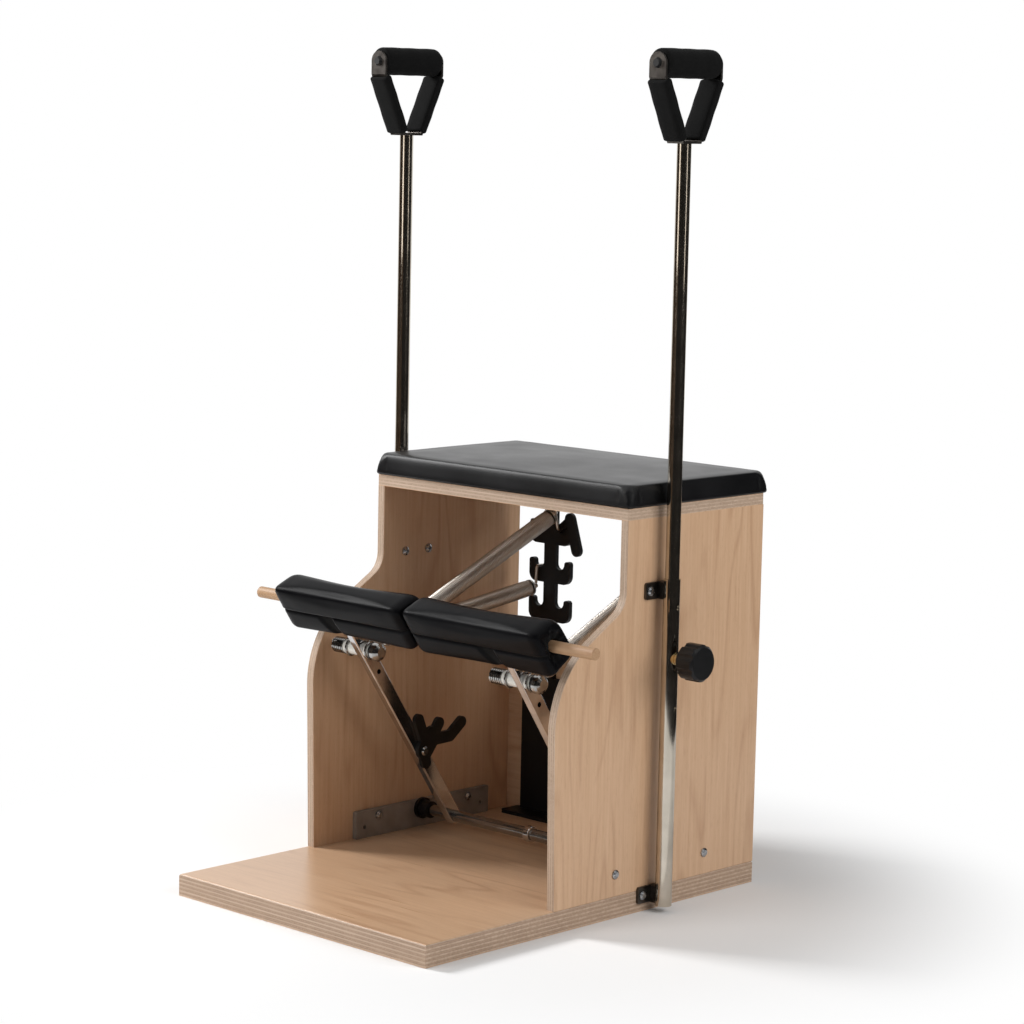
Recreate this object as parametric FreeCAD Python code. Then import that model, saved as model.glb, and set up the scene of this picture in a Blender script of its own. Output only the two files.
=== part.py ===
import FreeCAD, Part
import math
import os
from FreeCAD import Vector

# Pilates chair: plywood carcass, two sprung pedals on one axle, two height-adjustable handle poles.
# Millimetres. X to the user's right, Y to the back, Z up, origin under the middle of the base.
# A rise is measured from the base's top face; any other place names what it is measured from.

# Plywood carcass
base_width = 540.0
base_depth = 730.0
base_thickness = 34.0
base_edge_round = 4.0
panel_thickness = 15.0
panel_height = 572.0
panel_foot_from_rear = 463.0
panel_knee_from_rear = 471.0
panel_knee_below_top = 221.0
panel_neck_from_rear = 318.0
panel_neck_below_top = 130.0
panel_knee_radius = 150.0
panel_neck_radius = 40.0
panel_edge_round = 1.5
back_thickness = 18.0
back_height = 276.0
top_thickness = 18.0
top_edge_round = 2.0

# Seat cushion
seat_thickness = 34.0
seat_crown = 4.0
seat_overhang = 3.0
seat_corner_radius = 12.0
seat_side_draw = 2.0
seat_rise_shares = (0.0, 0.12, 0.30, 0.62, 0.86, 1.0)
seat_inset_shares = (0.16, 0.03, 0.0, 0.04, 0.22, 0.50)
seat_crown_inset_share = 0.22

# Axle, its brackets and bearings
axle_from_rear = 230.0
axle_rise = 31.0
shaft_diameter = 12.0
shaft_clearance = 0.05
sleeve_diameter = 19.0
sleeve_end_play = 0.3
collar_diameter = 26.0
collar_width = 12.0
collar_round = 2.0
bracket_length = 306.0
bracket_behind_axle = 5.0
bracket_height = 45.0
bracket_thickness = 8.0
bracket_corner_radius = 3.0
bracket_bolt_spacing = 207.0
bracket_bolt_rise = 34.0
bracket_spare_spacing = 268.0
bracket_spare_rise = 18.0
bracket_spare_diameter = 7.0
bearing_diameter = 28.0
bearing_length = 24.0
bearing_flange_diameter = 35.0
bearing_flange_length = 6.0

# Bolts through the plywood
bolt_diameter = 8.0
bolt_clearance = 0.1
bolt_head_diameter = 14.0
bolt_head_height = 4.0
bolt_nut_height = 5.0
bolt_crown_share = 0.6
nut_crown_share = 0.5
round_head_share = 0.7
screw_length = 36.0

# Pedal arms
pedal_from_panel = 81.0
pedal_angle = 55.5
arm_width = 15.0
arm_depth = 25.0
arm_wall = 2.0
arm_edge_round = 2.5
arm_boss_length = 24.0
arm_spare_below_bolt = 46.0
arm_spare_diameter = 8.0

# Pedal pads, in the arm's own directions: along the arm and square to it
dowel_radius_from_axle = 451.5
dowel_diameter = 18.0
dowel_length = 725.0
dowel_clearance = 0.3
dowel_end_round = 1.5
pad_below_dowel = 38.0
pad_height = 84.0
pad_depth = 60.0
pad_front_top_radius = 9.0
pad_rear_top_radius = 20.0
pad_bottom_radius = 13.0
pad_rear_slope = 10.0
pad_rear_lean = 3.0
pad_past_panel = 15.0
pad_middle_gap = 6.0
pad_end_reach = 16.0
pad_end_inset = 7.0
pad_end_shares = (0.0, 0.3, 1.0)
pad_inset_shares = (1.0, 0.35, 0.0)
pad_side_draw = 2.0
pad_seam_width = 2.5
pad_seam_depth = 3.0
pad_seam_below_top = 48.0
pad_notch_width = 13.0
pad_notch_lean = 14.0
pad_notch_shift = 6.0
plate_length = 110.0
plate_width = 36.0
plate_thickness = 4.0
plate_clearance = 0.3

# Cross bolt that carries the spring eyes on each arm
spring_bolt_below_pad = 50.5
spring_bolt_diameter = 10.0
spool_diameter = 22.0
right_spool_length = 13.5
left_spool_length = 30.5
spool_clearance = 0.1
washer_diameter = 26.0
washer_thickness = 6.0
cap_diameter = 30.0
cap_height = 13.0
cap_shares = ((1.0, 0.0), (1.0, 0.55), (0.75, 0.85), (0.5, 1.0), (0.0, 1.0))
ring_nut_diameter = 25.0
ring_nut_length = 24.0
ring_nut_groove = 1.0
ring_nut_grooves = 5
upper_eye_offset = 15.5
lower_eye_offset = 28.0
eye_wire = 3.5
eye_clearance = 0.3

# Three-fingered spring rest on each arm: places measured back and up from its bolt
rest_bolt_from_axle = 147.0
rest_bolt_diameter = 8.0
rest_bolt_head = 15.0
rest_bolt_head_height = 5.0
rest_thickness = 7.0
rest_finger_width = 19.0
rest_palm_width = 34.0
rest_span = 88.0
rest_height = 69.0
rest_palm_shares = ((0.05, 0.02), (0.22, 0.30))
rest_tail_shares = ((0.0, 0.0), (0.08, -0.30))
rest_front_finger_shares = ((0.02, 0.30), (-0.125, 0.75))
rest_middle_finger_shares = ((0.22, 0.26), (0.40, 0.59))
rest_rear_finger_shares = ((0.22, 0.22), (0.70, 0.24), (0.98, 0.52))

# Hooked spring posts
post_inside_pedal = 14.0
post_thickness = 8.0
post_column_width = 26.0
post_base_width = 112.0
post_base_below_hooks = 31.0
post_shoulder_radius = 30.0
hook_levels = 4
hook_pitch = 65.0
hook_top_below_top = 86.0
hook_slot_width = 20.0
hook_prong_width = 13.0
hook_prong_height = 15.0
hook_web_height = 24.0
hook_corner_radius = 15.0
hook_tip_radius = 5.0
post_foot_width = 136.0
post_foot_depth = 44.0
post_foot_thickness = 6.0
post_flange_width = 74.0
post_flange_depth = 46.0
post_flange_thickness = 6.0
post_corner_radius = 6.0

# Springs, their end plugs and their hooks on the posts
spring_diameter = 28.0
spring_wire = 5.5
spring_curls = 24
spring_end_gap = 17.5
coil_bend_turn_share = 0.25
upper_link_ahead = 14.0
upper_link_above_seat = 32.0
lower_link_ahead = 8.0
lower_link_below_seat = 31.0
upper_hook_level = 0
lower_hook_level = 1
plug_ball_radius = 4.0
plug_stem_radius = 2.6
plug_stem_length = 12.0
plug_flange_diameter = 27.0
plug_flange_thickness = 3.0
plug_boss_diameter = 14.0
plug_boss_length = 16.0
plug_tip_share = 0.7
plug_gap = 0.3
hook_wire = 5.0
hook_wire_gap = 0.3
hook_bend_radius = 6.0
hook_tight_bend = 3.0
hook_tail_length = 16.0
catch_thickness = 6.0
catch_gap = 0.3
catch_hook_clearance = 0.4
catch_neck_width = 12.0
catch_blade_width = 21.0
catch_elbow_reach = 25.0
catch_elbow_rise = 20.0
catch_tip_reach = 41.0
catch_tip_drop = 30.0

# Handle poles in their outer receiver tubes
pole_from_panel = 24.0
pole_from_rear = 243.0
pole_diameter = 22.0
pole_wall = 2.0
pole_bottom_height = 120.0
pole_top_height = 1166.0
receiver_diameter = 26.0
receiver_clearance = 0.3
receiver_bottom_height = 10.0
receiver_above_standoff = 19.0
standoff_width = 72.0
standoff_height = 26.0
standoff_plate_thickness = 4.0
standoff_web_width = 18.0
standoff_bolt_spacing = 52.0
standoff_upper_below_top = 110.0
standoff_lower_below_top = 8.0
weld_gap = 0.1

# Clamp knob on each receiver
knob_below_standoff = 102.0
knob_hole_pitch = 78.0
spare_hole_diameter = 8.0
bush_diameter = 19.0
bush_length = 13.0
stud_diameter = 10.0
stud_clearance = 0.05
stud_tip_gap = 0.3
stud_grip_length = 16.0
knob_diameter = 57.0
knob_length = 30.0
knob_neck_diameter = 44.0
knob_neck_length = 10.0
knob_chamfer = 4.0
knob_flutes = 8
knob_flute_start_share = 0.5
knob_flute_radius = 7.0
knob_flute_depth = 2.6
knob_gap = 0.5

# Stirrup handles
strap_width = 32.0
strap_thickness = 4.0
strap_bottom_half = 20.0
strap_top_half = 65.0
strap_bend_height = 96.0
grip_height = 117.0
grip_diameter = 44.0
grip_gap = 0.3
grip_end_round = 6.0
grip_bolt_diameter = 10.0
grip_bolt_head = 16.0
grip_bolt_head_height = 4.0
grip_bolt_clearance = 0.1
leg_foam_width = 40.0
leg_foam_thickness = 15.0
leg_foam_round = 6.0
leg_foam_start_share = 0.05
leg_foam_end_share = 0.95

overrun = 5.0
join_tolerance = 1e-5

# Places worked out from the sizes above
front = -base_depth / 2
rear = base_depth / 2
base_top = base_thickness
panel_outer = base_width / 2
panel_inner = panel_outer - panel_thickness
panel_top = base_top + panel_height
seat_bottom = panel_top + top_thickness
axle_y = rear - axle_from_rear
axle_z = base_top + axle_rise
neck_y = rear - panel_neck_from_rear
bracket_inner = panel_inner - bracket_thickness
bracket_y = axle_y + bracket_behind_axle
bearing_inner = bracket_inner - bearing_length
pedal_offset = panel_inner - pedal_from_panel
pad_bottom = dowel_radius_from_axle - pad_below_dowel
pad_top = pad_bottom + pad_height
pad_outer_end = panel_outer + pad_past_panel
spring_bolt_from_axle = pad_bottom - spring_bolt_below_pad
bolt_y = axle_y - spring_bolt_from_axle * math.cos(math.radians(pedal_angle))
bolt_z = axle_z + spring_bolt_from_axle * math.sin(math.radians(pedal_angle))
post_offset = pedal_offset - post_inside_pedal
post_back = rear - back_thickness
post_front = post_back - post_thickness
slot_offset = post_column_width / 2 + hook_slot_width / 2
pole_offset = panel_outer + pole_from_panel
pole_y = rear - pole_from_rear
standoff_upper_height = panel_top - standoff_upper_below_top
standoff_lower_height = base_top - standoff_lower_below_top
receiver_top_height = standoff_upper_height + receiver_above_standoff
knob_height = standoff_upper_height - knob_below_standoff
SIDES = (("left", -1), ("right", 1))


def box(x0, x1, y0, y1, z0, z1):
    """Block between two opposite corners."""
    return Part.makeBox(x1 - x0, y1 - y0, z1 - z0, Vector(x0, y0, z0))


def rod(diameter, start, end):
    """Round bar between two points."""
    return Part.makeCylinder(diameter / 2, (end - start).Length, start, end - start)


def rod_x(diameter, x0, x1, y, z):
    """Round bar along X."""
    return rod(diameter, Vector(min(x0, x1), y, z), Vector(max(x0, x1), y, z))


def in_yz(a, b):
    return Vector(0, a, b)


def in_xz(a, b):
    return Vector(a, 0, b)


def in_xy(a, b):
    return Vector(a, b, 0)


def rounded_outline(corners, place):
    """Closed wire through (a, b, radius) corners; a corner with a radius becomes an arc."""
    spans = []
    for index, (a, b, radius) in enumerate(corners):
        here = Vector(a, b, 0)
        before = Vector(*corners[index - 1][:2], 0) - here
        after = Vector(*corners[(index + 1) % len(corners)][:2], 0) - here
        half = before.getAngle(after) / 2
        before.normalize()
        after.normalize()
        reach = radius / math.tan(half)
        inward = (before + after).normalize()
        middle = here + inward * (radius / math.sin(half) - radius)
        spans.append((here + before * reach, middle, here + after * reach))
    edges = []
    for index, (start, middle, end) in enumerate(spans):
        if (end - start).Length > join_tolerance:
            edges.append(Part.Arc(place(*start[:2]), place(*middle[:2]), place(*end[:2])).toShape())
        following = spans[(index + 1) % len(spans)][0]
        if (following - end).Length > join_tolerance:
            edges.append(Part.LineSegment(place(*end[:2]), place(*following[:2])).toShape())
    return Part.Wire(Part.__sortEdges__(edges))


def slab(corners, place, start, depth):
    """Outline extruded by the vector depth from the place start."""
    face = Part.Face(rounded_outline(corners, place))
    face.translate(start)
    return face.extrude(depth)


def rectangle(centre, half, low, high, radius):
    """Corners of a rectangle: centre and half width on the first axis, low and high on the second."""
    places = ((centre - half, low), (centre + half, low), (centre + half, high), (centre - half, high))
    return [(a, b, radius) for a, b in places]


def bar_outline(start, end, width):
    """Corners of a flat bar with round ends from start to end."""
    along = Vector(end[0] - start[0], end[1] - start[1], 0).normalize() * (width / 2)
    across = Vector(-along.y, along.x, 0)
    tail = Vector(start[0], start[1], 0) - along
    tip = Vector(end[0], end[1], 0) + along
    points = (tail - across, tip - across, tip + across, tail + across)
    return [(p.x, p.y, width / 2) for p in points]


def fused(shapes):
    """One solid from shapes that share material."""
    return shapes[0].multiFuse(shapes[1:]).removeSplitter()


def group(shapes):
    """Separate solids kept in one node."""
    return Part.makeCompound(shapes)


def turned(profile, start, axis):
    """Solid of revolution: (distance along axis, radius) pairs turned about the axis."""
    points = [Vector(radius, 0, along) for along, radius in profile]
    face = Part.Face(Part.makePolygon(points + points[:1]))
    solid = face.revolve(Vector(0, 0, 0), Vector(0, 0, 1), 360)
    solid.Placement = FreeCAD.Placement(start, FreeCAD.Rotation(Vector(0, 0, 1), axis))
    return solid


def export(name, shape):
    """Writes one sub-part to its own file."""
    shape.exportStep("parts/%s.step" % name)
    print(name, len(shape.Solids), "solid" if len(shape.Solids) == 1 else "solids", shape.isValid())


# Plywood carcass

def bracket_bolt_places():
    """Y and Z of the two bolts that hold an axle bracket."""
    half = bracket_bolt_spacing / 2
    height = base_top + bracket_bolt_rise
    return [(bracket_y - half, height), (bracket_y + half, height)]


def standoff_bolt_places(height):
    """Y and Z of the two bolts of a pole standoff."""
    half = standoff_bolt_spacing / 2
    return [(pole_y - half, height), (pole_y + half, height)]


def drilled_x(shape, places, diameter, x0, x1):
    """Shape with round holes along X between x0 and x1."""
    for y, z in places:
        shape = shape.cut(rod_x(diameter, x0, x1, y, z))
    return shape


def base_board():
    """Thick foot board with softened top edges, drilled from both sides for the lower standoffs."""
    board = box(-panel_outer, panel_outer, front, rear, 0, base_top)
    board = board.makeFillet(base_edge_round, [e for e in board.Edges if e.BoundBox.ZMin > base_top / 2])
    hole = bolt_diameter + 2 * bolt_clearance
    places = standoff_bolt_places(standoff_lower_height)
    for name, side in SIDES:
        x0, x1 = side * (panel_outer - screw_length), side * (panel_outer + overrun)
        board = drilled_x(board, places, hole, x0, x1)
    return board


def side_panel(side):
    """Upright panel whose front edge swings back in an S from the knee to the neck."""
    corners = [
        (rear - panel_foot_from_rear, base_top, 0),
        (rear, base_top, 0),
        (rear, panel_top, 0),
        (neck_y, panel_top, 0),
        (neck_y, panel_top - panel_neck_below_top, panel_neck_radius),
        (rear - panel_knee_from_rear, panel_top - panel_knee_below_top, panel_knee_radius),
    ]
    start = Vector(min(side * panel_inner, side * panel_outer), 0, 0)
    panel = slab(corners, in_yz, start, Vector(panel_thickness, 0, 0))
    boxes = [(e, e.BoundBox) for e in panel.Edges]
    upright = [(e, b) for e, b in boxes if b.XLength < panel_edge_round and b.ZLength > panel_edge_round]
    panel = panel.makeFillet(panel_edge_round, [e for e, b in upright if b.YMin < rear - panel_edge_round])
    hole = bolt_diameter + 2 * bolt_clearance
    places = bracket_bolt_places() + standoff_bolt_places(standoff_upper_height)
    return drilled_x(panel, places, hole, side * (panel_inner - overrun), side * (panel_outer + overrun))


def back_panel():
    """Low board between the side panels at the rear."""
    return box(-panel_inner, panel_inner, rear - back_thickness, rear, base_top, base_top + back_height)


def top_board():
    """Seat board on top of the panels, flush with their upper front edges."""
    board = box(-panel_outer, panel_outer, neck_y, rear, panel_top, seat_bottom)
    upright = [e for e in board.Edges if e.BoundBox.ZLength > top_thickness / 2]
    return board.makeFillet(top_edge_round, upright)


def seat_outline(inset, z):
    """Rounded rectangle whose long sides are drawn in a little between the corners."""
    half = panel_outer + seat_overhang - inset
    low = neck_y - seat_overhang + inset
    high = rear - inset
    radius = seat_corner_radius - inset * seat_crown_inset_share
    middle = (low + high) / 2
    points = [(half, low + radius), (half, high - radius), (half - radius, high), (radius - half, high),
              (-half, high - radius), (-half, low + radius), (radius - half, low), (half - radius, low)]
    draw = ((half - seat_side_draw, middle), (0, high - seat_side_draw),
            (seat_side_draw - half, middle), (0, low + seat_side_draw))
    bend = radius * (1 - math.sqrt(2) / 2)
    corner = ((half - bend, high - bend), (bend - half, high - bend),
              (bend - half, low + bend), (half - bend, low + bend))
    edges = []
    for index in range(4):
        start, end = points[2 * index], points[2 * index + 1]
        after = points[(2 * index + 2) % len(points)]
        edges.append(Part.Arc(Vector(*start, z), Vector(*draw[index], z), Vector(*end, z)).toShape())
        edges.append(Part.Arc(Vector(*end, z), Vector(*corner[index], z), Vector(*after, z)).toShape())
    return Part.Wire(edges)


def seat_cushion():
    """Padded seat: drawn-in sides that bulge above the board, a soft shoulder and a crowned top."""
    wires = []
    for rise, inset in zip(seat_rise_shares, seat_inset_shares):
        wires.append(seat_outline(inset * seat_thickness, seat_bottom + rise * seat_thickness))
    crown_inset = seat_inset_shares[-1] * seat_thickness + seat_crown / seat_crown_inset_share
    wires.append(seat_outline(crown_inset, seat_bottom + seat_thickness + seat_crown))
    return Part.makeLoft(wires, True, True)


# Axle and its supports

def axle_bracket(side):
    """Flat steel plate on the panel's inner face that holds the axle bearing."""
    high = base_top + bracket_height
    corners = rectangle(bracket_y, bracket_length / 2, base_top, high, bracket_corner_radius)
    plate = slab(corners, in_yz, Vector(min(side * bracket_inner, side * panel_inner), 0, 0),
                 Vector(bracket_thickness, 0, 0))
    x0, x1 = side * (bracket_inner - overrun), side * (panel_inner + overrun)
    plate = drilled_x(plate, bracket_bolt_places(), bolt_diameter + 2 * bolt_clearance, x0, x1)
    half = bracket_spare_spacing / 2
    height = base_top + bracket_spare_rise
    spare = [(bracket_y - half, height), (bracket_y + half, height)]
    return drilled_x(plate, spare, bracket_spare_diameter, x0, x1)


def axle_bearing(side):
    """Flanged black bearing that takes the end of the shaft."""
    bore = shaft_diameter / 2 + shaft_clearance
    flange, body = bearing_flange_diameter / 2, bearing_diameter / 2
    profile = [(0, bore), (0, flange), (bearing_flange_length, flange),
               (bearing_flange_length, body), (bearing_length, body), (bearing_length, bore)]
    return turned(profile, Vector(side * bracket_inner, axle_y, axle_z), Vector(-side, 0, 0))


def axle_shaft():
    return rod_x(shaft_diameter, -bracket_inner, bracket_inner, axle_y, axle_z)


def axle_collar():
    """Ring clamped on the middle of the shaft, between the two pedal sleeves."""
    ring = rod_x(collar_diameter, -collar_width / 2, collar_width / 2, axle_y, axle_z)
    ring = ring.makeFillet(collar_round, [e for e in ring.Edges if e.BoundBox.XLength < join_tolerance])
    bore = shaft_diameter + 2 * shaft_clearance
    return ring.cut(rod_x(bore, -collar_width, collar_width, axle_y, axle_z))


def bolt_head_profile(radius, head):
    """Turned outline of a round bolt head, from its flat crown to the start of the shank."""
    return [(-bolt_head_height, 0), (-bolt_head_height, head * bolt_crown_share),
            (-bolt_head_height / 2, head), (0, head), (0, radius)]


def through_bolt(side, y, z, head_face, nut_face):
    """Bolt through a panel: round head outside, domed nut inside."""
    radius, head = bolt_diameter / 2, bolt_head_diameter / 2
    length = head_face - nut_face
    end = length + bolt_nut_height
    profile = bolt_head_profile(radius, head)
    profile += [(length, radius), (length, head), (length + bolt_nut_height / 2, head),
                (end, head * nut_crown_share), (end, 0)]
    return turned(profile, Vector(side * head_face, y, z), Vector(-side, 0, 0))


def side_screw(side, y, z, head_face):
    """Screw into the edge of the base board."""
    radius, head = bolt_diameter / 2, bolt_head_diameter / 2
    length = screw_length - overrun + head_face - panel_outer
    profile = bolt_head_profile(radius, head) + [(length - radius, radius), (length, 0)]
    return turned(profile, Vector(side * head_face, y, z), Vector(-side, 0, 0))


def bracket_bolts():
    """Four bolts, two through each side panel and its axle bracket."""
    return group([through_bolt(side, y, z, panel_outer, bracket_inner)
                  for name, side in SIDES for y, z in bracket_bolt_places()])


def standoff_bolts():
    """Eight fasteners of the pole standoffs: bolts through the panels, screws into the base."""
    face = panel_outer + standoff_plate_thickness
    bolts = [through_bolt(side, y, z, face, panel_inner)
             for name, side in SIDES for y, z in standoff_bolt_places(standoff_upper_height)]
    screws = [side_screw(side, y, z, face)
              for name, side in SIDES for y, z in standoff_bolt_places(standoff_lower_height)]
    return group(bolts + screws)


# Pedals: drawn upright with the axle at the origin, then leaned forward to the rest angle

def to_pedal(shape):
    """Leans an upright pedal piece forward to the rest angle and moves it to the axle."""
    shape.rotate(Vector(0, 0, 0), Vector(1, 0, 0), 90 - pedal_angle)
    shape.translate(Vector(0, axle_y, axle_z))
    return shape


def pedal_arm(x):
    """Rectangular tube with a round solid boss welded round the axle sleeve."""
    half = arm_depth / 2
    corners = [(-half, -half, half), (half, -half, half), (half, pad_bottom, 0), (-half, pad_bottom, 0)]
    arm = slab(corners, in_yz, Vector(x - arm_width / 2, 0, 0), Vector(arm_width, 0, 0))
    long_edges = [e for e in arm.Edges if e.BoundBox.ZLength > pad_bottom / 2]
    arm = arm.makeFillet(arm_edge_round, long_edges)
    inner = arm_width / 2 - arm_wall
    depth = half - arm_wall
    arm = arm.cut(box(x - inner, x + inner, -depth, depth, arm_boss_length, pad_bottom + overrun))
    x0, x1 = x - arm_width, x + arm_width
    holes = ((0, sleeve_diameter), (rest_bolt_from_axle, rest_bolt_diameter + 2 * bolt_clearance),
             (spring_bolt_from_axle - arm_spare_below_bolt, arm_spare_diameter),
             (spring_bolt_from_axle, spring_bolt_diameter + 2 * bolt_clearance))
    for along, diameter in holes:
        arm = arm.cut(rod_x(diameter, x0, x1, 0, along))
    return to_pedal(arm)


def axle_sleeve(side):
    """Tube that turns on the shaft from the middle collar to the bearing."""
    x0 = side * (collar_width / 2 + sleeve_end_play)
    x1 = side * (bearing_inner - sleeve_end_play)
    tube = rod_x(sleeve_diameter, x0, x1, 0, 0)
    bore = rod_x(shaft_diameter + 2 * shaft_clearance, x0 - side * overrun, x1 + side * overrun, 0, 0)
    return to_pedal(tube.cut(bore))


def pedal_plate(x):
    """Steel plate on the arm's end, let into the underside of the pad."""
    corners = rectangle(x, plate_length / 2, -plate_width / 2, plate_width / 2, plate_thickness)
    return to_pedal(slab(corners, in_xy, Vector(0, 0, pad_bottom), Vector(0, 0, plate_thickness)))


def pad_outline(x, inset):
    """Pad section at x: sewn front top edge, top that slopes down to a soft rear edge."""
    half = pad_depth / 2 - inset
    low, high = pad_bottom + inset, pad_top - inset
    corners = [(-half, low, pad_bottom_radius), (half, low, pad_bottom_radius),
               (half - pad_rear_lean, high - pad_rear_slope, pad_rear_top_radius),
               (-half, high, pad_front_top_radius)]
    wire = rounded_outline(corners, in_yz)
    wire.translate(Vector(x, 0, 0))
    return wire


def pedal_pad(side):
    """Upholstered pad: soft ends, drawn-in waist, sewn seam, notch at the arm, dowel bore."""
    low = pad_middle_gap / 2
    high = pad_outer_end
    stations = [(low + share * pad_end_reach, inset * pad_end_inset)
                for share, inset in zip(pad_end_shares, pad_inset_shares)]
    stations.append(((low + high) / 2, pad_side_draw))
    stations += [(high - share * pad_end_reach, inset * pad_end_inset)
                 for share, inset in reversed(list(zip(pad_end_shares, pad_inset_shares)))]
    pad = Part.makeLoft([pad_outline(side * x, inset) for x, inset in stations], True, True)
    x0, x1 = sorted((side * low - side * overrun, side * high + side * overrun))
    face = -pad_depth / 2
    seam = pad_top - pad_seam_below_top
    pad = pad.cut(box(x0, x1, face - overrun, face + pad_seam_depth, seam - pad_seam_width, seam))
    x = side * pedal_offset
    left = x - pad_notch_shift - pad_notch_width
    right = x - pad_notch_shift
    notch = [(left, seam, 0), (right, seam, 0), (right + pad_notch_lean, pad_bottom - overrun, 0),
             (left + pad_notch_lean, pad_bottom - overrun, 0)]
    pad = pad.cut(slab(notch, in_xz, Vector(0, face - overrun, 0), Vector(0, overrun + pad_seam_depth, 0)))
    half, width = plate_length / 2 + plate_clearance, plate_width / 2 + plate_clearance
    recess = pad_bottom + plate_thickness + plate_clearance
    pad = pad.cut(box(x - half, x + half, -width, width, pad_bottom - overrun, recess))
    pad = pad.cut(rod_x(dowel_diameter + 2 * dowel_clearance, x0, x1, 0, dowel_radius_from_axle))
    return to_pedal(pad)


def tube_profile(bore, outer, length):
    """Turned outline of a plain ring."""
    return [(0, bore), (0, outer), (length, outer), (length, bore)]


def spring_spools(x):
    """White nylon spools on the cross bolt, one each side of the arm."""
    bore = spring_bolt_diameter / 2 + spool_clearance
    spools = []
    for side, length in ((-1, left_spool_length), (1, right_spool_length)):
        profile = tube_profile(bore, spool_diameter / 2, length)
        start = Vector(x + side * arm_width / 2, 0, spring_bolt_from_axle)
        spools.append(turned(profile, start, Vector(side, 0, 0)))
    return to_pedal(group(spools))


def spring_washer(x):
    """Black washer between the right spool and the bolt's cap."""
    bore = spring_bolt_diameter / 2 + spool_clearance
    profile = tube_profile(bore, washer_diameter / 2, washer_thickness)
    start = x + arm_width / 2 + right_spool_length
    return to_pedal(turned(profile, Vector(start, 0, spring_bolt_from_axle), Vector(1, 0, 0)))


def cross_bolt(x):
    """Bolt with a domed cap on the right, a ribbed ring nut on the left."""
    radius, cap, nut = spring_bolt_diameter / 2, cap_diameter / 2, ring_nut_diameter / 2
    cap_face = arm_width / 2 + right_spool_length + washer_thickness
    nut_face = -arm_width / 2 - left_spool_length
    profile = [(cap_face + rise * cap_height, width * cap) for rise, width in cap_shares]
    profile += [(cap_face, radius), (nut_face, radius)]
    step = ring_nut_length / (2 * ring_nut_grooves + 1)
    for index in range(2 * ring_nut_grooves + 1):
        height = nut - ring_nut_groove * (index % 2)
        profile += [(nut_face - index * step, height), (nut_face - (index + 1) * step, height)]
    profile += [(nut_face - ring_nut_length, 0)]
    return turned(profile, Vector(x, 0, spring_bolt_from_axle), Vector(1, 0, 0))


def spring_eye(x):
    """Wire eye of a spring, round its spool."""
    radius = spool_diameter / 2 + eye_clearance + eye_wire / 2
    return Part.makeTorus(radius, eye_wire / 2, Vector(x, 0, spring_bolt_from_axle), Vector(1, 0, 0))


def rest_bolt(x):
    """Bolt that holds the spring rest against the arm."""
    radius, head = rest_bolt_diameter / 2, rest_bolt_head / 2
    far = x + arm_width / 2 + rest_thickness
    crown, length = rest_bolt_head_height, rest_thickness + arm_width
    profile = [(crown, 0), (crown, head * round_head_share), (crown / 2, head), (0, head),
               (0, radius), (-length, radius), (-length, 0)]
    return turned(profile, Vector(far, 0, rest_bolt_from_axle), Vector(1, 0, 0))


def arm_bolts(x):
    """Plated fasteners of one arm: cross bolt, both spring eyes, bolt of the spring rest."""
    eyes = [spring_eye(x - lower_eye_offset), spring_eye(x + upper_eye_offset)]
    return to_pedal(group([cross_bolt(x)] + eyes + [rest_bolt(x)]))


def rest_point(share):
    """Place on the spring rest, from its bolt, in shares of its span and height."""
    return share[0] * rest_span, share[1] * rest_height


def spring_rest(x):
    """Black plate with three upright fingers that spare springs hang on."""
    bars = [(rest_palm_shares, rest_palm_width), (rest_tail_shares, rest_finger_width)]
    fingers = (rest_front_finger_shares, rest_middle_finger_shares, rest_rear_finger_shares)
    bars += [(pair, rest_finger_width) for finger in fingers for pair in zip(finger, finger[1:])]
    depth = Vector(rest_thickness, 0, 0)
    plate = fused([slab(bar_outline(rest_point(a), rest_point(b), width), in_yz, Vector(0, 0, 0), depth)
                   for (a, b), width in bars])
    hole = rest_bolt_diameter + 2 * bolt_clearance
    plate = plate.cut(rod_x(hole, -overrun, rest_thickness + overrun, 0, 0))
    angle = math.radians(pedal_angle)
    plate.translate(Vector(x + arm_width / 2, axle_y - rest_bolt_from_axle * math.cos(angle),
                           axle_z + rest_bolt_from_axle * math.sin(angle)))
    return plate


def cross_dowel():
    """Wooden dowel through both pads, which ties the pedals together."""
    half = dowel_length / 2
    dowel = rod_x(dowel_diameter, -half, half, 0, dowel_radius_from_axle)
    ends = [e for e in dowel.Edges if e.BoundBox.XLength < join_tolerance]
    return to_pedal(dowel.makeFillet(dowel_end_round, ends))


# Spring posts

def hook_outline(side, seat):
    """One upturned hook beside the column: slot with a round bottom, prong with a round tip."""
    near = post_column_width / 2
    slot, far = near + hook_slot_width, near + hook_slot_width + hook_prong_width
    bottom, tip, round_bottom = seat - hook_web_height, seat + hook_prong_height, hook_slot_width / 2
    corners = [(0, bottom, 0), (far, bottom, hook_corner_radius),
               (far, tip, hook_tip_radius), (slot, tip, hook_tip_radius),
               (slot, seat, round_bottom), (near, seat, round_bottom), (near, tip, 0), (0, tip, 0)]
    return [(side * a, b, r) for a, b, r in corners]


def hook_seat(level):
    """Height of the slot bottom of a hook level, counted from the top."""
    return panel_top - hook_top_below_top - level * hook_pitch


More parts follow.
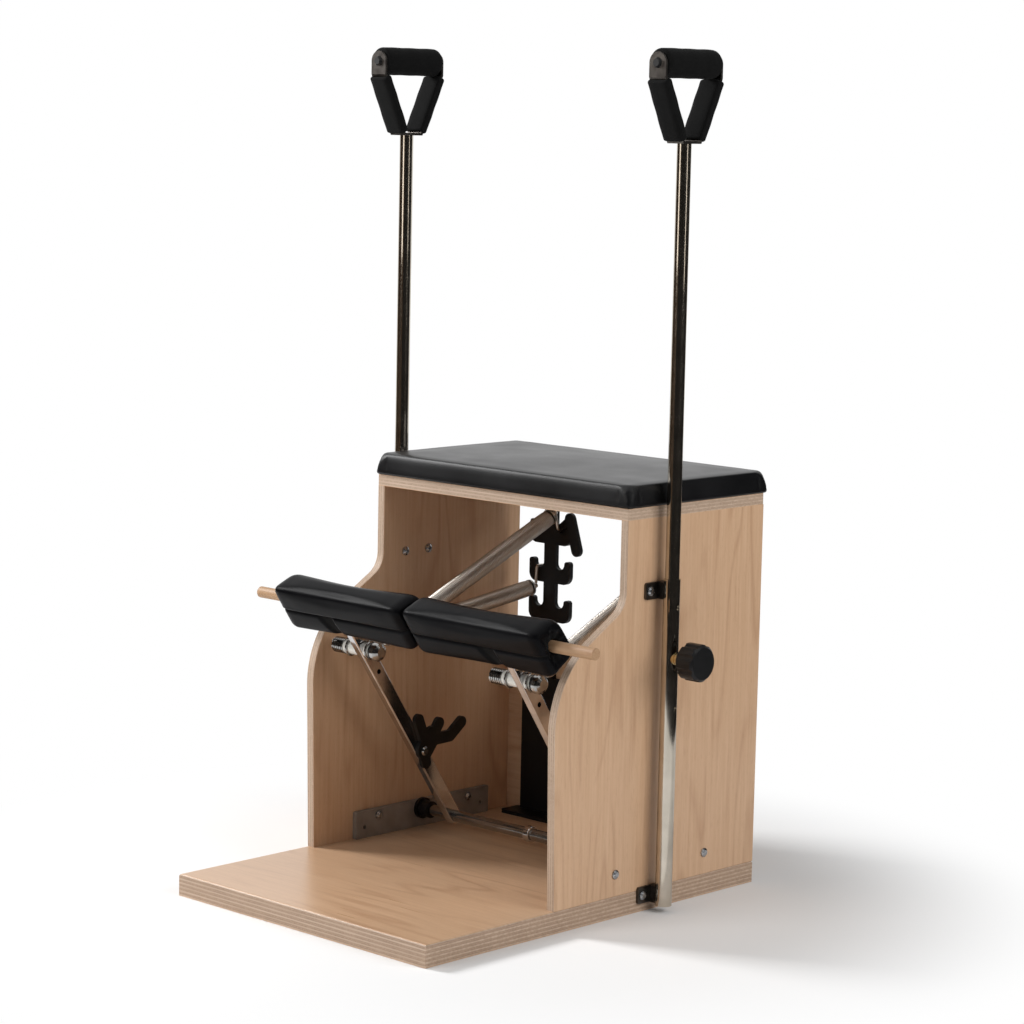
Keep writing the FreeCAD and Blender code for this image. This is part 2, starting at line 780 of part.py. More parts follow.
def spring_post(side):
    """Black steel post: foot, wide lower plate, column with hooks, flange under the seat board."""
    x = side * post_offset
    depth = Vector(0, post_thickness, 0)
    start = Vector(x, post_front, 0)
    shoulder = hook_seat(hook_levels - 1) - hook_web_height - post_base_below_hooks
    column, wide = post_column_width / 2, post_base_width / 2
    half = [(wide, base_top, 0), (wide, shoulder, post_shoulder_radius),
            (column, shoulder, 0), (column, panel_top, 0)]
    plate = half + [(-a, b, r) for a, b, r in reversed(half)]
    shapes = [slab(plate, in_xz, start, depth)]
    for level in range(hook_levels):
        shapes += [slab(hook_outline(hand, hook_seat(level)), in_xz, start, depth) for name, hand in SIDES]
    ends = ((post_foot_width, post_foot_depth, base_top, post_foot_thickness),
            (post_flange_width, post_flange_depth, panel_top, -post_flange_thickness))
    for width, reach, z, rise in ends:
        corners = rectangle(x, width / 2, post_back - reach, post_back, post_corner_radius)
        shapes.append(slab(corners, in_xy, Vector(0, 0, z), Vector(0, 0, rise)))
    return fused(shapes)


# Springs

def biarc(start, start_way, end, end_way):
    """Two arcs from start along start_way to end along end_way, with a shared tangent between."""
    chord = end - start
    ways = start_way + end_way
    spread = 2 * (1 - start_way.dot(end_way))
    along = chord.dot(ways)
    reach = (math.sqrt(along * along + spread * chord.dot(chord)) - along) / spread
    first, second = start + start_way * reach, end - end_way * reach
    joint = (first + second) * 0.5
    arcs = []
    for a, corner, b in ((start, first, joint), (joint, second, end)):
        middle = (a + b) * 0.5
        half = math.acos(min(1.0, (middle - a).Length / reach))
        crest = middle + (corner - middle) * (math.tan(half / 2) / math.tan(half))
        arcs.append(Part.Arc(a, crest, b).toShape())
    return arcs


def coil_path(start_z, end_z):
    """Wire's centre line: straight ends, a bend at each, two arcs to every half turn of the helix."""
    radius = (spring_diameter - spring_wire) / 2
    low, high = start_z + spring_wire, end_z - spring_wire
    bend_rise = radius
    rise = (high - low - 2 * bend_rise) / spring_curls
    slope = Vector(0, 2 * math.pi * radius, rise)

    def point(turn):
        angle = 2 * math.pi * turn
        return Vector(radius * math.cos(angle), radius * math.sin(angle), low + bend_rise + rise * turn)

    def way(turn):
        angle = 2 * math.pi * turn
        return Vector(-slope.y * math.sin(angle), slope.y * math.cos(angle), slope.z).normalize()

    up = Vector(0, 0, 1)
    first, last = point(-coil_bend_turn_share), point(spring_curls + coil_bend_turn_share)
    first.z, last.z = low, high
    edges = [Part.LineSegment(Vector(first.x, first.y, start_z), first).toShape()]
    edges += biarc(first, up, point(0), way(0))
    for half_turn in range(2 * spring_curls):
        a, b = half_turn / 2, (half_turn + 1) / 2
        edges += biarc(point(a), way(a), point(b), way(b))
    edges += biarc(point(spring_curls), way(spring_curls), last, up)
    edges.append(Part.LineSegment(last, Vector(last.x, last.y, end_z)).toShape())
    return edges


def least_gap(edges, wire):
    """Smallest clear distance between stretches of the wire that are a half curl or more apart."""
    points_per_arc = 6
    arcs_apart = 2
    points = [p for edge in edges for p in edge.discretize(points_per_arc + 1)[:-1]]
    apart = arcs_apart * points_per_arc
    pairs = ((i, j) for i in range(len(points)) for j in range(i + apart, len(points)))
    return min((points[i] - points[j]).Length for i, j in pairs) - wire


def spring_frame(side, level, ahead, above, slot, eye_offset):
    """Link point ahead of a post's hook, eye centre on the arm, and the way from one to the other."""
    link = Vector(side * post_offset + slot, post_front - ahead, hook_seat(level) + above)
    eye = Vector(side * pedal_offset + eye_offset, bolt_y, bolt_z)
    return link, eye, (eye - link).normalize()


upper_places = (upper_hook_level, upper_link_ahead, upper_link_above_seat, slot_offset, upper_eye_offset)
lower_places = (lower_hook_level, lower_link_ahead, -lower_link_below_seat, -slot_offset, -lower_eye_offset)
SPRINGS = (("upper", upper_places), ("lower", lower_places))


def spring_coil(link, eye, way):
    """Extension spring from its plug at the post to its eye on the arm."""
    start_z = plug_stem_length + plug_flange_thickness + plug_gap
    edges = coil_path(start_z, (eye - link).Length - spring_end_gap)
    print("least gap in coil", round(least_gap(edges, spring_wire), 2))
    first = edges[0].Vertexes[0].Point
    ring = Part.Wire(Part.makeCircle(spring_wire / 2, first, Vector(0, 0, 1)))
    coil = Part.Wire(edges).makePipeShell([ring], True, False)
    coil.Placement = FreeCAD.Placement(link, FreeCAD.Rotation(Vector(0, 0, 1), way))
    return coil


def spring_plug(link, way):
    """Turned end plug: ball at the hook's end, stem, flange for the coil to butt on, boss inside it."""
    ball, stem = plug_ball_radius, plug_stem_radius
    flange, boss = plug_flange_diameter / 2, plug_boss_diameter / 2
    flange_end = plug_stem_length + plug_flange_thickness
    boss_end = flange_end + plug_boss_length
    profile = [(0, 0), (0, stem), (plug_stem_length, stem), (plug_stem_length, flange), (flange_end, flange),
               (flange_end, boss), (boss_end, boss * plug_tip_share), (boss_end, 0)]
    plug = turned(profile, Vector(0, 0, 0), Vector(0, 0, 1)).fuse(Part.makeSphere(ball)).removeSplitter()
    plug.Placement = FreeCAD.Placement(link, FreeCAD.Rotation(Vector(0, 0, 1), way))
    return plug


def spring_hook(link, level, wire):
    """Wire hook that lies in a post slot, with its tail turned down behind the post."""
    seat = hook_seat(level) + hook_wire / 2 + hook_wire_gap
    near = Vector(link.x, post_front - hook_bend_radius, seat)
    over = Vector(link.x, post_back + hook_wire_gap + hook_wire / 2, seat)
    tail = over - Vector(0, 0, hook_tail_length)
    begin = link + (near - link).normalize() * (plug_ball_radius + plug_gap)
    edges = []
    last = begin
    bends = ((begin, near, over, hook_bend_radius), (near, over, tail, hook_tight_bend))
    for before, here, after, radius in bends:
        back, ahead = (before - here).normalize(), (after - here).normalize()
        half = back.getAngle(ahead) / 2
        start, end = here + back * (radius / math.tan(half)), here + ahead * (radius / math.tan(half))
        middle = here + (back + ahead).normalize() * (radius / math.sin(half) - radius)
        edges += [Part.LineSegment(last, start).toShape(), Part.Arc(start, middle, end).toShape()]
        last = end
    edges.append(Part.LineSegment(last, tail).toShape())
    ring = Part.Wire(Part.makeCircle(wire / 2, begin, near - begin))
    return Part.Wire(edges).makePipeShell([ring], True, False)


def spring_hooks(side):
    """Both wire hooks of one post."""
    return group([spring_hook(spring_frame(side, *places)[0], places[0], hook_wire)
                  for name, places in SPRINGS])


def spring_catch(side):
    """Black moulded finger tab on the upper spring's hook, hanging in front of the post."""
    link = spring_frame(side, *upper_places)[0]
    seat = hook_seat(upper_hook_level) + hook_wire / 2 + hook_wire_gap
    centre = (link.x, seat)
    elbow = (link.x + catch_elbow_reach, seat + catch_elbow_rise)
    tip = (link.x + catch_tip_reach, seat - catch_tip_drop)
    start = Vector(0, post_front - catch_gap - catch_thickness, 0)
    depth = Vector(0, catch_thickness, 0)
    neck = slab(bar_outline(centre, elbow, catch_neck_width), in_xz, start, depth)
    blade = slab(bar_outline(elbow, tip, catch_blade_width), in_xz, start, depth)
    hole = spring_hook(link, upper_hook_level, hook_wire + 2 * catch_hook_clearance)
    return fused([neck, blade]).cut(hole)


def spring_catches():
    return group([spring_catch(side) for name, side in SIDES])


# Handle poles

def pole_receiver(side):
    """Outer tube beside the panel with a row of clamp holes on its outer face."""
    x = side * pole_offset
    low, high = Vector(x, pole_y, receiver_bottom_height), Vector(x, pole_y, receiver_top_height)
    reach = Vector(0, 0, overrun)
    bore = pole_diameter + 2 * receiver_clearance
    tube = rod(receiver_diameter, low, high).cut(rod(bore, low - reach, high + reach))
    stud_hole = stud_diameter + 2 * stud_clearance
    holes = ((knob_height, stud_hole), (knob_height - knob_hole_pitch, spare_hole_diameter),
             (knob_height + knob_hole_pitch, spare_hole_diameter))
    for z, diameter in holes:
        tube = tube.cut(rod_x(diameter, x, x + side * receiver_diameter, pole_y, z))
    return tube


def pole_standoff(side, height):
    """Bracket that holds the receiver off the panel: bolted plate and a web welded to the tube."""
    x = side * pole_offset
    low, high = height - standoff_height / 2, height + standoff_height / 2
    corners = rectangle(pole_y, standoff_width / 2, low, high, standoff_plate_thickness)
    plate_face = panel_outer + standoff_plate_thickness
    plate = slab(corners, in_yz, Vector(min(side * panel_outer, side * plate_face), 0, 0),
                 Vector(standoff_plate_thickness, 0, 0))
    x0, x1 = sorted((side * panel_outer, x))
    half = standoff_web_width / 2
    web = box(x0, x1, pole_y - half, pole_y + half, low, high)
    tube_ends = Vector(x, pole_y, low - overrun), Vector(x, pole_y, high + overrun)
    bracket = fused([plate, web]).cut(rod(receiver_diameter + 2 * weld_gap, *tube_ends))
    hole = bolt_diameter + 2 * bolt_clearance
    return drilled_x(bracket, standoff_bolt_places(height), hole, side * (panel_outer - overrun), x)


def pole_standoffs(side):
    return group([pole_standoff(side, height) for height in (standoff_upper_height, standoff_lower_height)])


def handle_pole(side):
    """Chrome tube that slides in the receiver."""
    x = side * pole_offset
    low, high = Vector(x, pole_y, pole_bottom_height), Vector(x, pole_y, pole_top_height)
    reach = Vector(0, 0, overrun)
    return rod(pole_diameter, low, high).cut(rod(pole_diameter - 2 * pole_wall, low - reach, high + reach))


def knob_bush(side):
    """Brass threaded bush seated on the receiver."""
    face = pole_offset + receiver_diameter / 2 + bush_length
    x = side * pole_offset
    bush = rod_x(bush_diameter, x, side * face, pole_y, knob_height)
    tube_ends = Vector(x, pole_y, knob_height - bush_diameter), Vector(x, pole_y, knob_height + bush_diameter)
    bush = bush.cut(rod(receiver_diameter + 2 * weld_gap, *tube_ends))
    hole = stud_diameter + 2 * stud_clearance
    return bush.cut(rod_x(hole, x, side * (face + overrun), pole_y, knob_height))


def knob_bushes():
    return group([knob_bush(side) for name, side in SIDES])


def knob_stud(side):
    """Threaded stud of the knob, its tip just clear of the pole."""
    tip = pole_offset + pole_diameter / 2 + stud_tip_gap
    end = pole_offset + receiver_diameter / 2 + bush_length + knob_gap + stud_grip_length
    return rod_x(stud_diameter, side * tip, side * end, pole_y, knob_height)


def clamp_knob(side):
    """Fluted knob with a smaller neck behind and a bevelled face."""
    start = pole_offset + receiver_diameter / 2 + bush_length + knob_gap
    neck, rim = knob_neck_diameter / 2, knob_diameter / 2
    full = knob_neck_length + knob_length
    profile = [(0, 0), (0, neck - knob_chamfer), (knob_chamfer, neck), (knob_neck_length, neck),
               (knob_neck_length, rim), (full - knob_chamfer, rim), (full, rim - knob_chamfer), (full, 0)]
    knob = turned(profile, Vector(0, 0, 0), Vector(0, 0, 1))
    offset = rim + knob_flute_radius - knob_flute_depth
    for index in range(knob_flutes):
        angle = 2 * math.pi * (index + knob_flute_start_share) / knob_flutes
        place = Vector(offset * math.cos(angle), offset * math.sin(angle), knob_neck_length)
        knob = knob.cut(rod(2 * knob_flute_radius, place, place + Vector(0, 0, knob_length + overrun)))
    hole = stud_diameter + 2 * stud_clearance
    knob = knob.cut(rod(hole, Vector(0, 0, -overrun), Vector(0, 0, stud_grip_length + stud_tip_gap)))
    knob.Placement = FreeCAD.Placement(Vector(side * start, pole_y, knob_height),
                                       FreeCAD.Rotation(Vector(0, 0, 1), Vector(side, 0, 0)))
    return knob


# Stirrup handles: drawn round the top of the pole, in the plane of the side panel

def strap_lines():
    """Outer line of the strap from one top end to the other, as (Y from the pole, height)."""
    bottom, bend = pole_top_height, pole_top_height + strap_bend_height
    top = pole_top_height + grip_height + strap_width / 2
    right = [(strap_bottom_half, bottom), (strap_top_half, bend), (strap_top_half, top)]
    return [(-y, z) for y, z in reversed(right)] + right


def strap_outline():
    """Corners of the bent flat strap: the outer line and the same line moved in by the thickness."""
    outer = strap_lines()
    lean = math.atan2(strap_top_half - strap_bottom_half, strap_bend_height)
    inner_bottom = strap_bottom_half - strap_thickness * math.tan((math.pi / 2 - lean) / 2)
    inner_bend = pole_top_height + strap_bend_height + strap_thickness * math.tan(lean / 2)
    right = [(inner_bottom, outer[3][1] + strap_thickness), (strap_top_half - strap_thickness, inner_bend),
             (strap_top_half - strap_thickness, outer[5][1])]
    inner = right[::-1] + [(-y, z) for y, z in right]
    return [(pole_y + y, z, 0) for y, z in outer + inner]


def handle_strap(side):
    """Flat steel stirrup on the pole with rounded top ends."""
    x = side * pole_offset
    half = strap_width / 2
    strap = slab(strap_outline(), in_yz, Vector(x - half, 0, 0), Vector(strap_width, 0, 0))
    top = pole_top_height + grip_height + half
    ends = [(x - half, pole_top_height, 0), (x + half, pole_top_height, 0),
            (x + half, top, half), (x - half, top, half)]
    reach = 2 * strap_top_half
    strap = strap.common(slab(ends, in_xz, Vector(0, pole_y - reach, 0), Vector(0, 2 * reach, 0)))
    hole = grip_bolt_diameter + 2 * grip_bolt_clearance
    z = pole_top_height + grip_height
    return strap.cut(rod(hole, Vector(x, pole_y - reach, z), Vector(x, pole_y + reach, z)))


def grip_bolt(side):
    """Through bolt inside the grip with a round head at each end."""
    radius, head = grip_bolt_diameter / 2, grip_bolt_head / 2
    half = strap_top_half
    end, crown = half + grip_bolt_head_height, head * round_head_share
    profile = [(-end, 0), (-end, crown), (-half, head), (-half, radius),
               (half, radius), (half, head), (end, crown), (end, 0)]
    centre = Vector(side * pole_offset, pole_y, pole_top_height + grip_height)
    return turned(profile, centre, Vector(0, 1, 0))


def grip_foam(side):
    """Round foam grip between the strap's ends."""
    half = strap_top_half - strap_thickness - grip_gap
    centre = Vector(side * pole_offset, pole_y, pole_top_height + grip_height)
    reach = Vector(0, half, 0)
    foam = rod(grip_diameter, centre - reach, centre + reach)
    foam = foam.makeFillet(grip_end_round, [e for e in foam.Edges if e.BoundBox.YLength < join_tolerance])
    return foam.cut(rod(grip_bolt_diameter + 2 * grip_bolt_clearance, centre - reach, centre + reach))


def leg_foam(side, hand, strap):
    """Flat foam sleeve on one leg of the strap."""
    low = Vector(0, hand * strap_bottom_half, pole_top_height)
    high = Vector(0, hand * strap_top_half, pole_top_height + strap_bend_height)
    way = (high - low).normalize()
    inward = Vector(0, -hand * way.z, hand * way.y) * (strap_thickness / 2)
    length = (high - low).Length
    half, depth = leg_foam_width / 2, leg_foam_thickness / 2
    start, end = leg_foam_start_share * length, leg_foam_end_share * length
    outline = rectangle(0, half, -depth, depth, leg_foam_round)
    sleeve = slab(outline, in_xy, Vector(0, 0, start), Vector(0, 0, end - start))
    lean = math.degrees(math.atan2(way.y, way.z))
    sleeve.rotate(Vector(0, 0, 0), Vector(1, 0, 0), -lean)
    sleeve.translate(low + inward + Vector(side * pole_offset, pole_y, 0))
    return sleeve.cut(strap)


def handle_foam(side, strap):
    """Grip and both leg sleeves of one handle."""
    return group([grip_foam(side)] + [leg_foam(side, hand, strap) for name, hand in SIDES])


def build():
    os.makedirs("parts", exist_ok=True)
    export("base_board", base_board())
    export("back_panel", back_panel())
    export("top_board", top_board())
    export("seat_cushion", seat_cushion())
    export("axle_brackets", group([axle_bracket(side) for name, side in SIDES]))
    export("axle_bearings", group([axle_bearing(side) for name, side in SIDES]))
    export("axle_shaft", axle_shaft())
    export("axle_collar", axle_collar())
    export("bracket_bolts", bracket_bolts())
    export("standoff_bolts", standoff_bolts())
    export("knob_bushes", knob_bushes())
    export("spring_catches", spring_catches())
    export("cross_dowel", cross_dowel())
    for name, side in SIDES:
        x = side * pedal_offset
        export(name + "_side_panel", side_panel(side))
        export(name + "_spring_post", spring_post(side))
        export(name + "_spring_hooks", spring_hooks(side))
        export(name + "_pedal_arm", pedal_arm(x))
        export(name + "_axle_sleeve", axle_sleeve(side))
        export(name + "_pedal_plate", pedal_plate(x))
        export(name + "_pedal_pad", pedal_pad(side))
        export(name + "_spring_spools", spring_spools(x))
        export(name + "_spool_washer", spring_washer(x))
        export(name + "_arm_bolts", arm_bolts(x))
        export(name + "_spring_rest", spring_rest(x))
        for level_name, places in SPRINGS:
            link, eye, way = spring_frame(side, *places)
            export("%s_%s_spring" % (name, level_name), spring_coil(link, eye, way))
            export("%s_%s_spring_plug" % (name, level_name), spring_plug(link, way))
        export(name + "_pole_receiver", pole_receiver(side))
        export(name + "_pole_standoffs", pole_standoffs(side))
        export(name + "_handle_pole", handle_pole(side))
        strap = handle_strap(side)
        export(name + "_handle_strap", strap)
        export(name + "_handle_foam", handle_foam(side, strap))
        export(name + "_grip_bolt", grip_bolt(side))
        export(name + "_clamp_knob", clamp_knob(side))
        export(name + "_knob_stud", knob_stud(side))


build()
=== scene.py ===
"""Looks of the pilates chair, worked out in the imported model's frame: metres, X right, Y back, Z up."""

import math

import bpy
import numpy as np
from mathutils import Matrix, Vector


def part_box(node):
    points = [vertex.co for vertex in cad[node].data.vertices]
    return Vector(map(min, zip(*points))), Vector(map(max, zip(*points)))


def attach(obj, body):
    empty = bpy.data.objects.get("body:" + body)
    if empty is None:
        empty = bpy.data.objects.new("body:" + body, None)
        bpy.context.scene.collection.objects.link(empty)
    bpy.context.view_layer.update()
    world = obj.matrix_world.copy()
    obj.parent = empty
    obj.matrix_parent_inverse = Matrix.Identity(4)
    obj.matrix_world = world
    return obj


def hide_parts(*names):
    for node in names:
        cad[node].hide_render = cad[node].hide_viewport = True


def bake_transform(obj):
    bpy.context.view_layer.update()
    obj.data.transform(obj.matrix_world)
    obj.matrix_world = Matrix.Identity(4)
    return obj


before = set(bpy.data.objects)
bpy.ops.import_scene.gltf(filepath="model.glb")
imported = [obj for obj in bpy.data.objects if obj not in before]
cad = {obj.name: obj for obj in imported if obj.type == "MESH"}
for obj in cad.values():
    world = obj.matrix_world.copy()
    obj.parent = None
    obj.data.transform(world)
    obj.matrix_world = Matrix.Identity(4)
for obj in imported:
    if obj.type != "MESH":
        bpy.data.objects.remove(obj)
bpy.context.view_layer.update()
scene = bpy.context.scene
MM = 0.001
X, Y, Z = np.eye(3)
SIDES = (("left", -1), ("right", 1))


# Finishes

NOISE_LOW, NOISE_HIGH = 0.32, 0.68   # most of one noise lies between these
PAIR_LOW, PAIR_HIGH = 0.6, 1.4       # and most of two added noises between these


def colour(code):
    """Turns an sRGB hex value into linear light, which the shaders work in."""
    value = np.array([int(code[place:place + 2], 16) for place in (1, 3, 5)]) / 255
    linear = np.where(value <= 0.04045, value / 12.92, ((value + 0.055) / 1.055) ** 2.4)
    return (*linear, 1.0)


def add(tree, kind, inputs=None, stops=None, **fields):
    """Adds one node. Fields are its settings, stops a ramp's places and colours, and inputs its sockets,
    each with a value or with the socket to link to it."""
    made = tree.nodes.new("ShaderNode" + kind)
    for field, value in fields.items():
        setattr(made, field, value)
    if stops:
        for place, _ in stops[2:]:
            made.color_ramp.elements.new(place)
        for element, (place, code) in zip(made.color_ramp.elements, stops):
            element.position = place
            element.color = colour(code)
    for key, value in (inputs or {}).items():
        if isinstance(value, bpy.types.NodeSocket):
            tree.links.new(value, made.inputs[key])
        else:
            made.inputs[key].default_value = value
    return made


def finish(name, constants):
    """New material: itself, its tree, its shader with the constant sockets set, and the place on the piece
    in metres."""
    made = bpy.data.materials.new(name)
    made.use_nodes = True
    tree = made.node_tree
    shader = tree.nodes["Principled BSDF"]
    for socket, value in constants.items():
        shader.inputs[socket].default_value = value
    return made, tree, shader, add(tree, "TexCoord").outputs["Object"]


def relief(tree, shader, height, depth):
    """Bump of a real depth in metres from a height pattern that runs from 0 to 1."""
    bump = add(tree, "Bump", {"Strength": 1.0, "Distance": depth, "Height": height})
    tree.links.new(bump.outputs["Normal"], shader.inputs["Normal"])


def worked(name, light, dark, patch, rough, grit, depth, stretch=(1, 1, 1), **constants):
    """A worked surface: two tones in patches, roughness that wanders with them, and a fine relief of one
    grit size. Patch, grit and depth are lengths; the constants are sockets that are the same all over."""
    sockets = {key.replace("_", " "): value for key, value in constants.items()}
    made, tree, shader, place = finish(name, sockets)
    drawn = add(tree, "Mapping", {"Vector": place, "Scale": stretch}).outputs["Vector"]
    tone = add(tree, "TexNoise", {"Vector": drawn, "Scale": 1 / patch, "Detail": 4.0}).outputs["Fac"]
    ramp = add(tree, "ValToRGB", {"Fac": tone}, stops=((NOISE_LOW, dark), (NOISE_HIGH, light)))
    tree.links.new(ramp.outputs["Color"], shader.inputs["Base Color"])
    fine = add(tree, "TexNoise", {"Vector": drawn, "Scale": 1 / grit, "Detail": 2.0}).outputs["Fac"]
    both = add(tree, "Math", {0: tone, 1: fine}, operation="ADD").outputs[0]
    gloss = add(tree, "MapRange", {"Value": both, "From Min": PAIR_LOW, "From Max": PAIR_HIGH,
                                   "To Min": rough[0], "To Max": rough[1]})
    tree.links.new(gloss.outputs["Result"], shader.inputs["Roughness"])
    relief(tree, shader, fine, depth)
    return made


def long_grain(tree, place, along, width, length, light, dark, figure):
    """Maple figure: faint streaks of width by length; thin lines along the contours of a slow noise, which
    the grain stretches into tall arches, shown in patches; short dark flecks. Figure is the slow noise's
    scale per metre, across the grain and along it."""
    fleck_length, fleck_width, fleck_strength = 11 * MM, 1.1 * MM, 0.14
    contours, line_share, line_strength = 9.0, 0.2, 0.31
    patch = 130 * MM
    axis = "XYZ".index(along)
    streak = [1 / length if k == axis else 1 / width for k in range(3)]
    slow = [figure[1] if k == axis else figure[0] for k in range(3)]
    fleck = [1 / fleck_length if k == axis else 1 / fleck_width for k in range(3)]
    fine = add(tree, "Mapping", {"Vector": place, "Scale": streak}).outputs["Vector"]
    fine = add(tree, "TexNoise", {"Vector": fine, "Scale": 1.0, "Detail": 5.0, "Roughness": 0.55})
    fine = fine.outputs["Fac"]
    tone = add(tree, "ValToRGB", {"Fac": fine}, stops=((0.1, dark), (0.9, light))).outputs["Color"]
    arch = add(tree, "Mapping", {"Vector": place, "Scale": slow}).outputs["Vector"]
    arch = add(tree, "TexNoise", {"Vector": arch, "Scale": 1.0, "Detail": 1.5, "Roughness": 0.4})
    arch = add(tree, "Math", {0: arch.outputs["Fac"], 1: contours}, operation="MULTIPLY").outputs[0]
    arch = add(tree, "Math", {0: arch, 1: 0.5}, operation="PINGPONG").outputs[0]
    line = add(tree, "MapRange", {"Value": arch, "From Max": line_share,
                                  "To Min": line_strength, "To Max": 0.0}).outputs["Result"]
    shown = add(tree, "TexNoise", {"Vector": place, "Scale": 1 / patch, "Detail": 2.0}).outputs["Fac"]
    shown = add(tree, "MapRange", {"Value": shown, "From Min": 0.36, "From Max": 0.6}).outputs["Result"]
    line = add(tree, "Math", {0: line, 1: shown}, operation="MULTIPLY").outputs[0]
    tone = add(tree, "Mix", {0: line, 6: tone, 7: colour("#94694A")}, data_type="RGBA").outputs[2]
    dots = add(tree, "Mapping", {"Vector": place, "Scale": fleck}).outputs["Vector"]
    dots = add(tree, "TexNoise", {"Vector": dots, "Scale": 1.0, "Detail": 0.0}).outputs["Fac"]
    dots = add(tree, "MapRange", {"Value": dots, "From Min": 0.64, "From Max": 0.76,
                                  "To Max": fleck_strength}).outputs["Result"]
    tone = add(tree, "Mix", {0: dots, 6: tone, 7: colour("#8A6243")}, data_type="RGBA").outputs[2]
    return tone, fine


# Maple-faced plywood, sanded and lacquered satin: calm long figure on the faces. On the edges the plies turn
# by a quarter each, so long grain and end grain alternate there, paler and greyer than the face veneer. Real
# plies are 1.4 mm; they are drawn about twice as thick, because thinner ones don't show at the picture's
# scale.
def plywood(board, name, across, along, plies, end_ply, glue_strength):
    """Solid pattern: depth through the board counts the plies. A thin veneer lies at both faces; between them
    even plies show long grain and odd ones end grain, with a dark glue line, strong in places, at each step."""
    veneer, face_streak, streak_length = 0.3 * MM, 5 * MM, 170 * MM
    pore, glue_patch, grain_depth = 2.2 * MM, 35 * MM, 0.03 * MM
    edge_dullness = 0.3
    axis = "XYZ".index(across)
    low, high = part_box(board)
    made, tree, shader, place = finish(name, {"Specular IOR Level": 0.5})
    ply = (high[axis] - low[axis] + 2 * veneer) / plies
    depth = add(tree, "SeparateXYZ", {0: place}).outputs[axis]
    depth = add(tree, "Math", {0: depth, 1: low[axis] - veneer}, operation="SUBTRACT").outputs[0]
    depth = add(tree, "Math", {0: depth, 1: ply}, operation="DIVIDE").outputs[0]
    count = add(tree, "Math", {0: depth}, operation="FLOOR").outputs[0]
    odd = add(tree, "Math", {0: count, 1: 2.0}, operation="MODULO").outputs[0]
    part = add(tree, "Math", {0: depth}, operation="FRACT").outputs[0]
    core = add(tree, "Math", {0: depth, 1: plies / 2, 2: plies / 2 - 0.4}, operation="COMPARE").outputs[0]
    face, fine = long_grain(tree, place, along, face_streak, streak_length, "#D0AE8E", "#BA9473", (12.0, 1.4))
    pale = add(tree, "ValToRGB", {"Fac": fine}, stops=((0.35, PALE_PLY[1]), (0.65, PALE_PLY[0])))
    end = add(tree, "TexNoise", {"Vector": place, "Scale": 1 / pore, "Detail": 3.0}).outputs["Fac"]
    end = add(tree, "ValToRGB", {"Fac": end}, stops=((0.35, end_ply[1]), (0.65, end_ply[0])))
    edge = add(tree, "Mix", {0: odd, 6: pale.outputs["Color"], 7: end.outputs["Color"]}, data_type="RGBA")
    glue = add(tree, "MapRange", {"Value": part, "From Min": 0.04, "From Max": 0.2,
                                  "To Min": 1.0, "To Max": 0.0}).outputs["Result"]
    strong = add(tree, "TexNoise", {"Vector": place, "Scale": 1 / glue_patch, "Detail": 3.0}).outputs["Fac"]
    strong = add(tree, "MapRange", {"Value": strong, "From Min": 0.35, "From Max": 0.65,
                                    "To Max": glue_strength}).outputs["Result"]
    glue = add(tree, "Math", {0: glue, 1: strong}, operation="MULTIPLY").outputs[0]
    edge = add(tree, "Mix", {0: glue, 6: edge.outputs[2], 7: colour("#5E4636")}, data_type="RGBA").outputs[2]
    tone = add(tree, "Mix", {0: core, 6: face, 7: edge}, data_type="RGBA").outputs[2]
    tree.links.new(tone, shader.inputs["Base Color"])
    gloss = add(tree, "MapRange", {"Value": fine, "To Min": 0.24, "To Max": 0.36}).outputs["Result"]
    gloss = add(tree, "Math", {0: core, 1: edge_dullness, 2: gloss}, operation="MULTIPLY_ADD").outputs[0]
    tree.links.new(gloss, shader.inputs["Roughness"])
    relief(tree, shader, fine, grain_depth)
    return made


# Beech dowel, turned and sanded bare: pale pinkish straw with short dark flecks along its length.
def beech_dowel(name):
    """Long grain along X with no plies."""
    streak, streak_length, grain_depth = 2.5 * MM, 90 * MM, 0.1 * MM
    made, tree, shader, place = finish(name, {"Specular IOR Level": 0.35})
    tone, fine = long_grain(tree, place, "X", streak, streak_length, "#B49373", "#9E7B5A", (40.0, 2.0))
    tree.links.new(tone, shader.inputs["Base Color"])
    gloss = add(tree, "MapRange", {"Value": fine, "To Min": 0.42, "To Max": 0.6}).outputs["Result"]
    tree.links.new(gloss, shader.inputs["Roughness"])
    relief(tree, shader, fine, grain_depth)
    return made


# Upholstery vinyl, embossed with a small pebble: near black, a satin sheen that turns grey where it is seen
# flat on, and faint rubbed patches. The pebble is 1 mm in life and drawn at 1.8 mm so that it shows.
def upholstery_vinyl(name, shine):
    """Cell pattern as pebble relief, slow noise as rubbed patches in tone and gloss."""
    pebble, pebble_depth, rubbed = 1.8 * MM, 0.08 * MM, 70 * MM
    made, tree, shader, place = finish(name, {"Specular IOR Level": shine})
    cell = add(tree, "TexVoronoi", {"Vector": place, "Scale": 1 / pebble}, feature="SMOOTH_F1")
    rub = add(tree, "TexNoise", {"Vector": place, "Scale": 1 / rubbed, "Detail": 5.0}).outputs["Fac"]
    tone = add(tree, "ValToRGB", {"Fac": rub}, stops=((0.3, "#08080A"), (0.7, "#101012"))).outputs["Color"]
    tree.links.new(tone, shader.inputs["Base Color"])
    gloss = add(tree, "MapRange", {"Value": rub, "From Min": 0.3, "From Max": 0.7,
                                   "To Min": 0.32, "To Max": 0.38}).outputs["Result"]
    tree.links.new(gloss, shader.inputs["Roughness"])
    relief(tree, shader, cell.outputs["Distance"], pebble_depth)
    return made


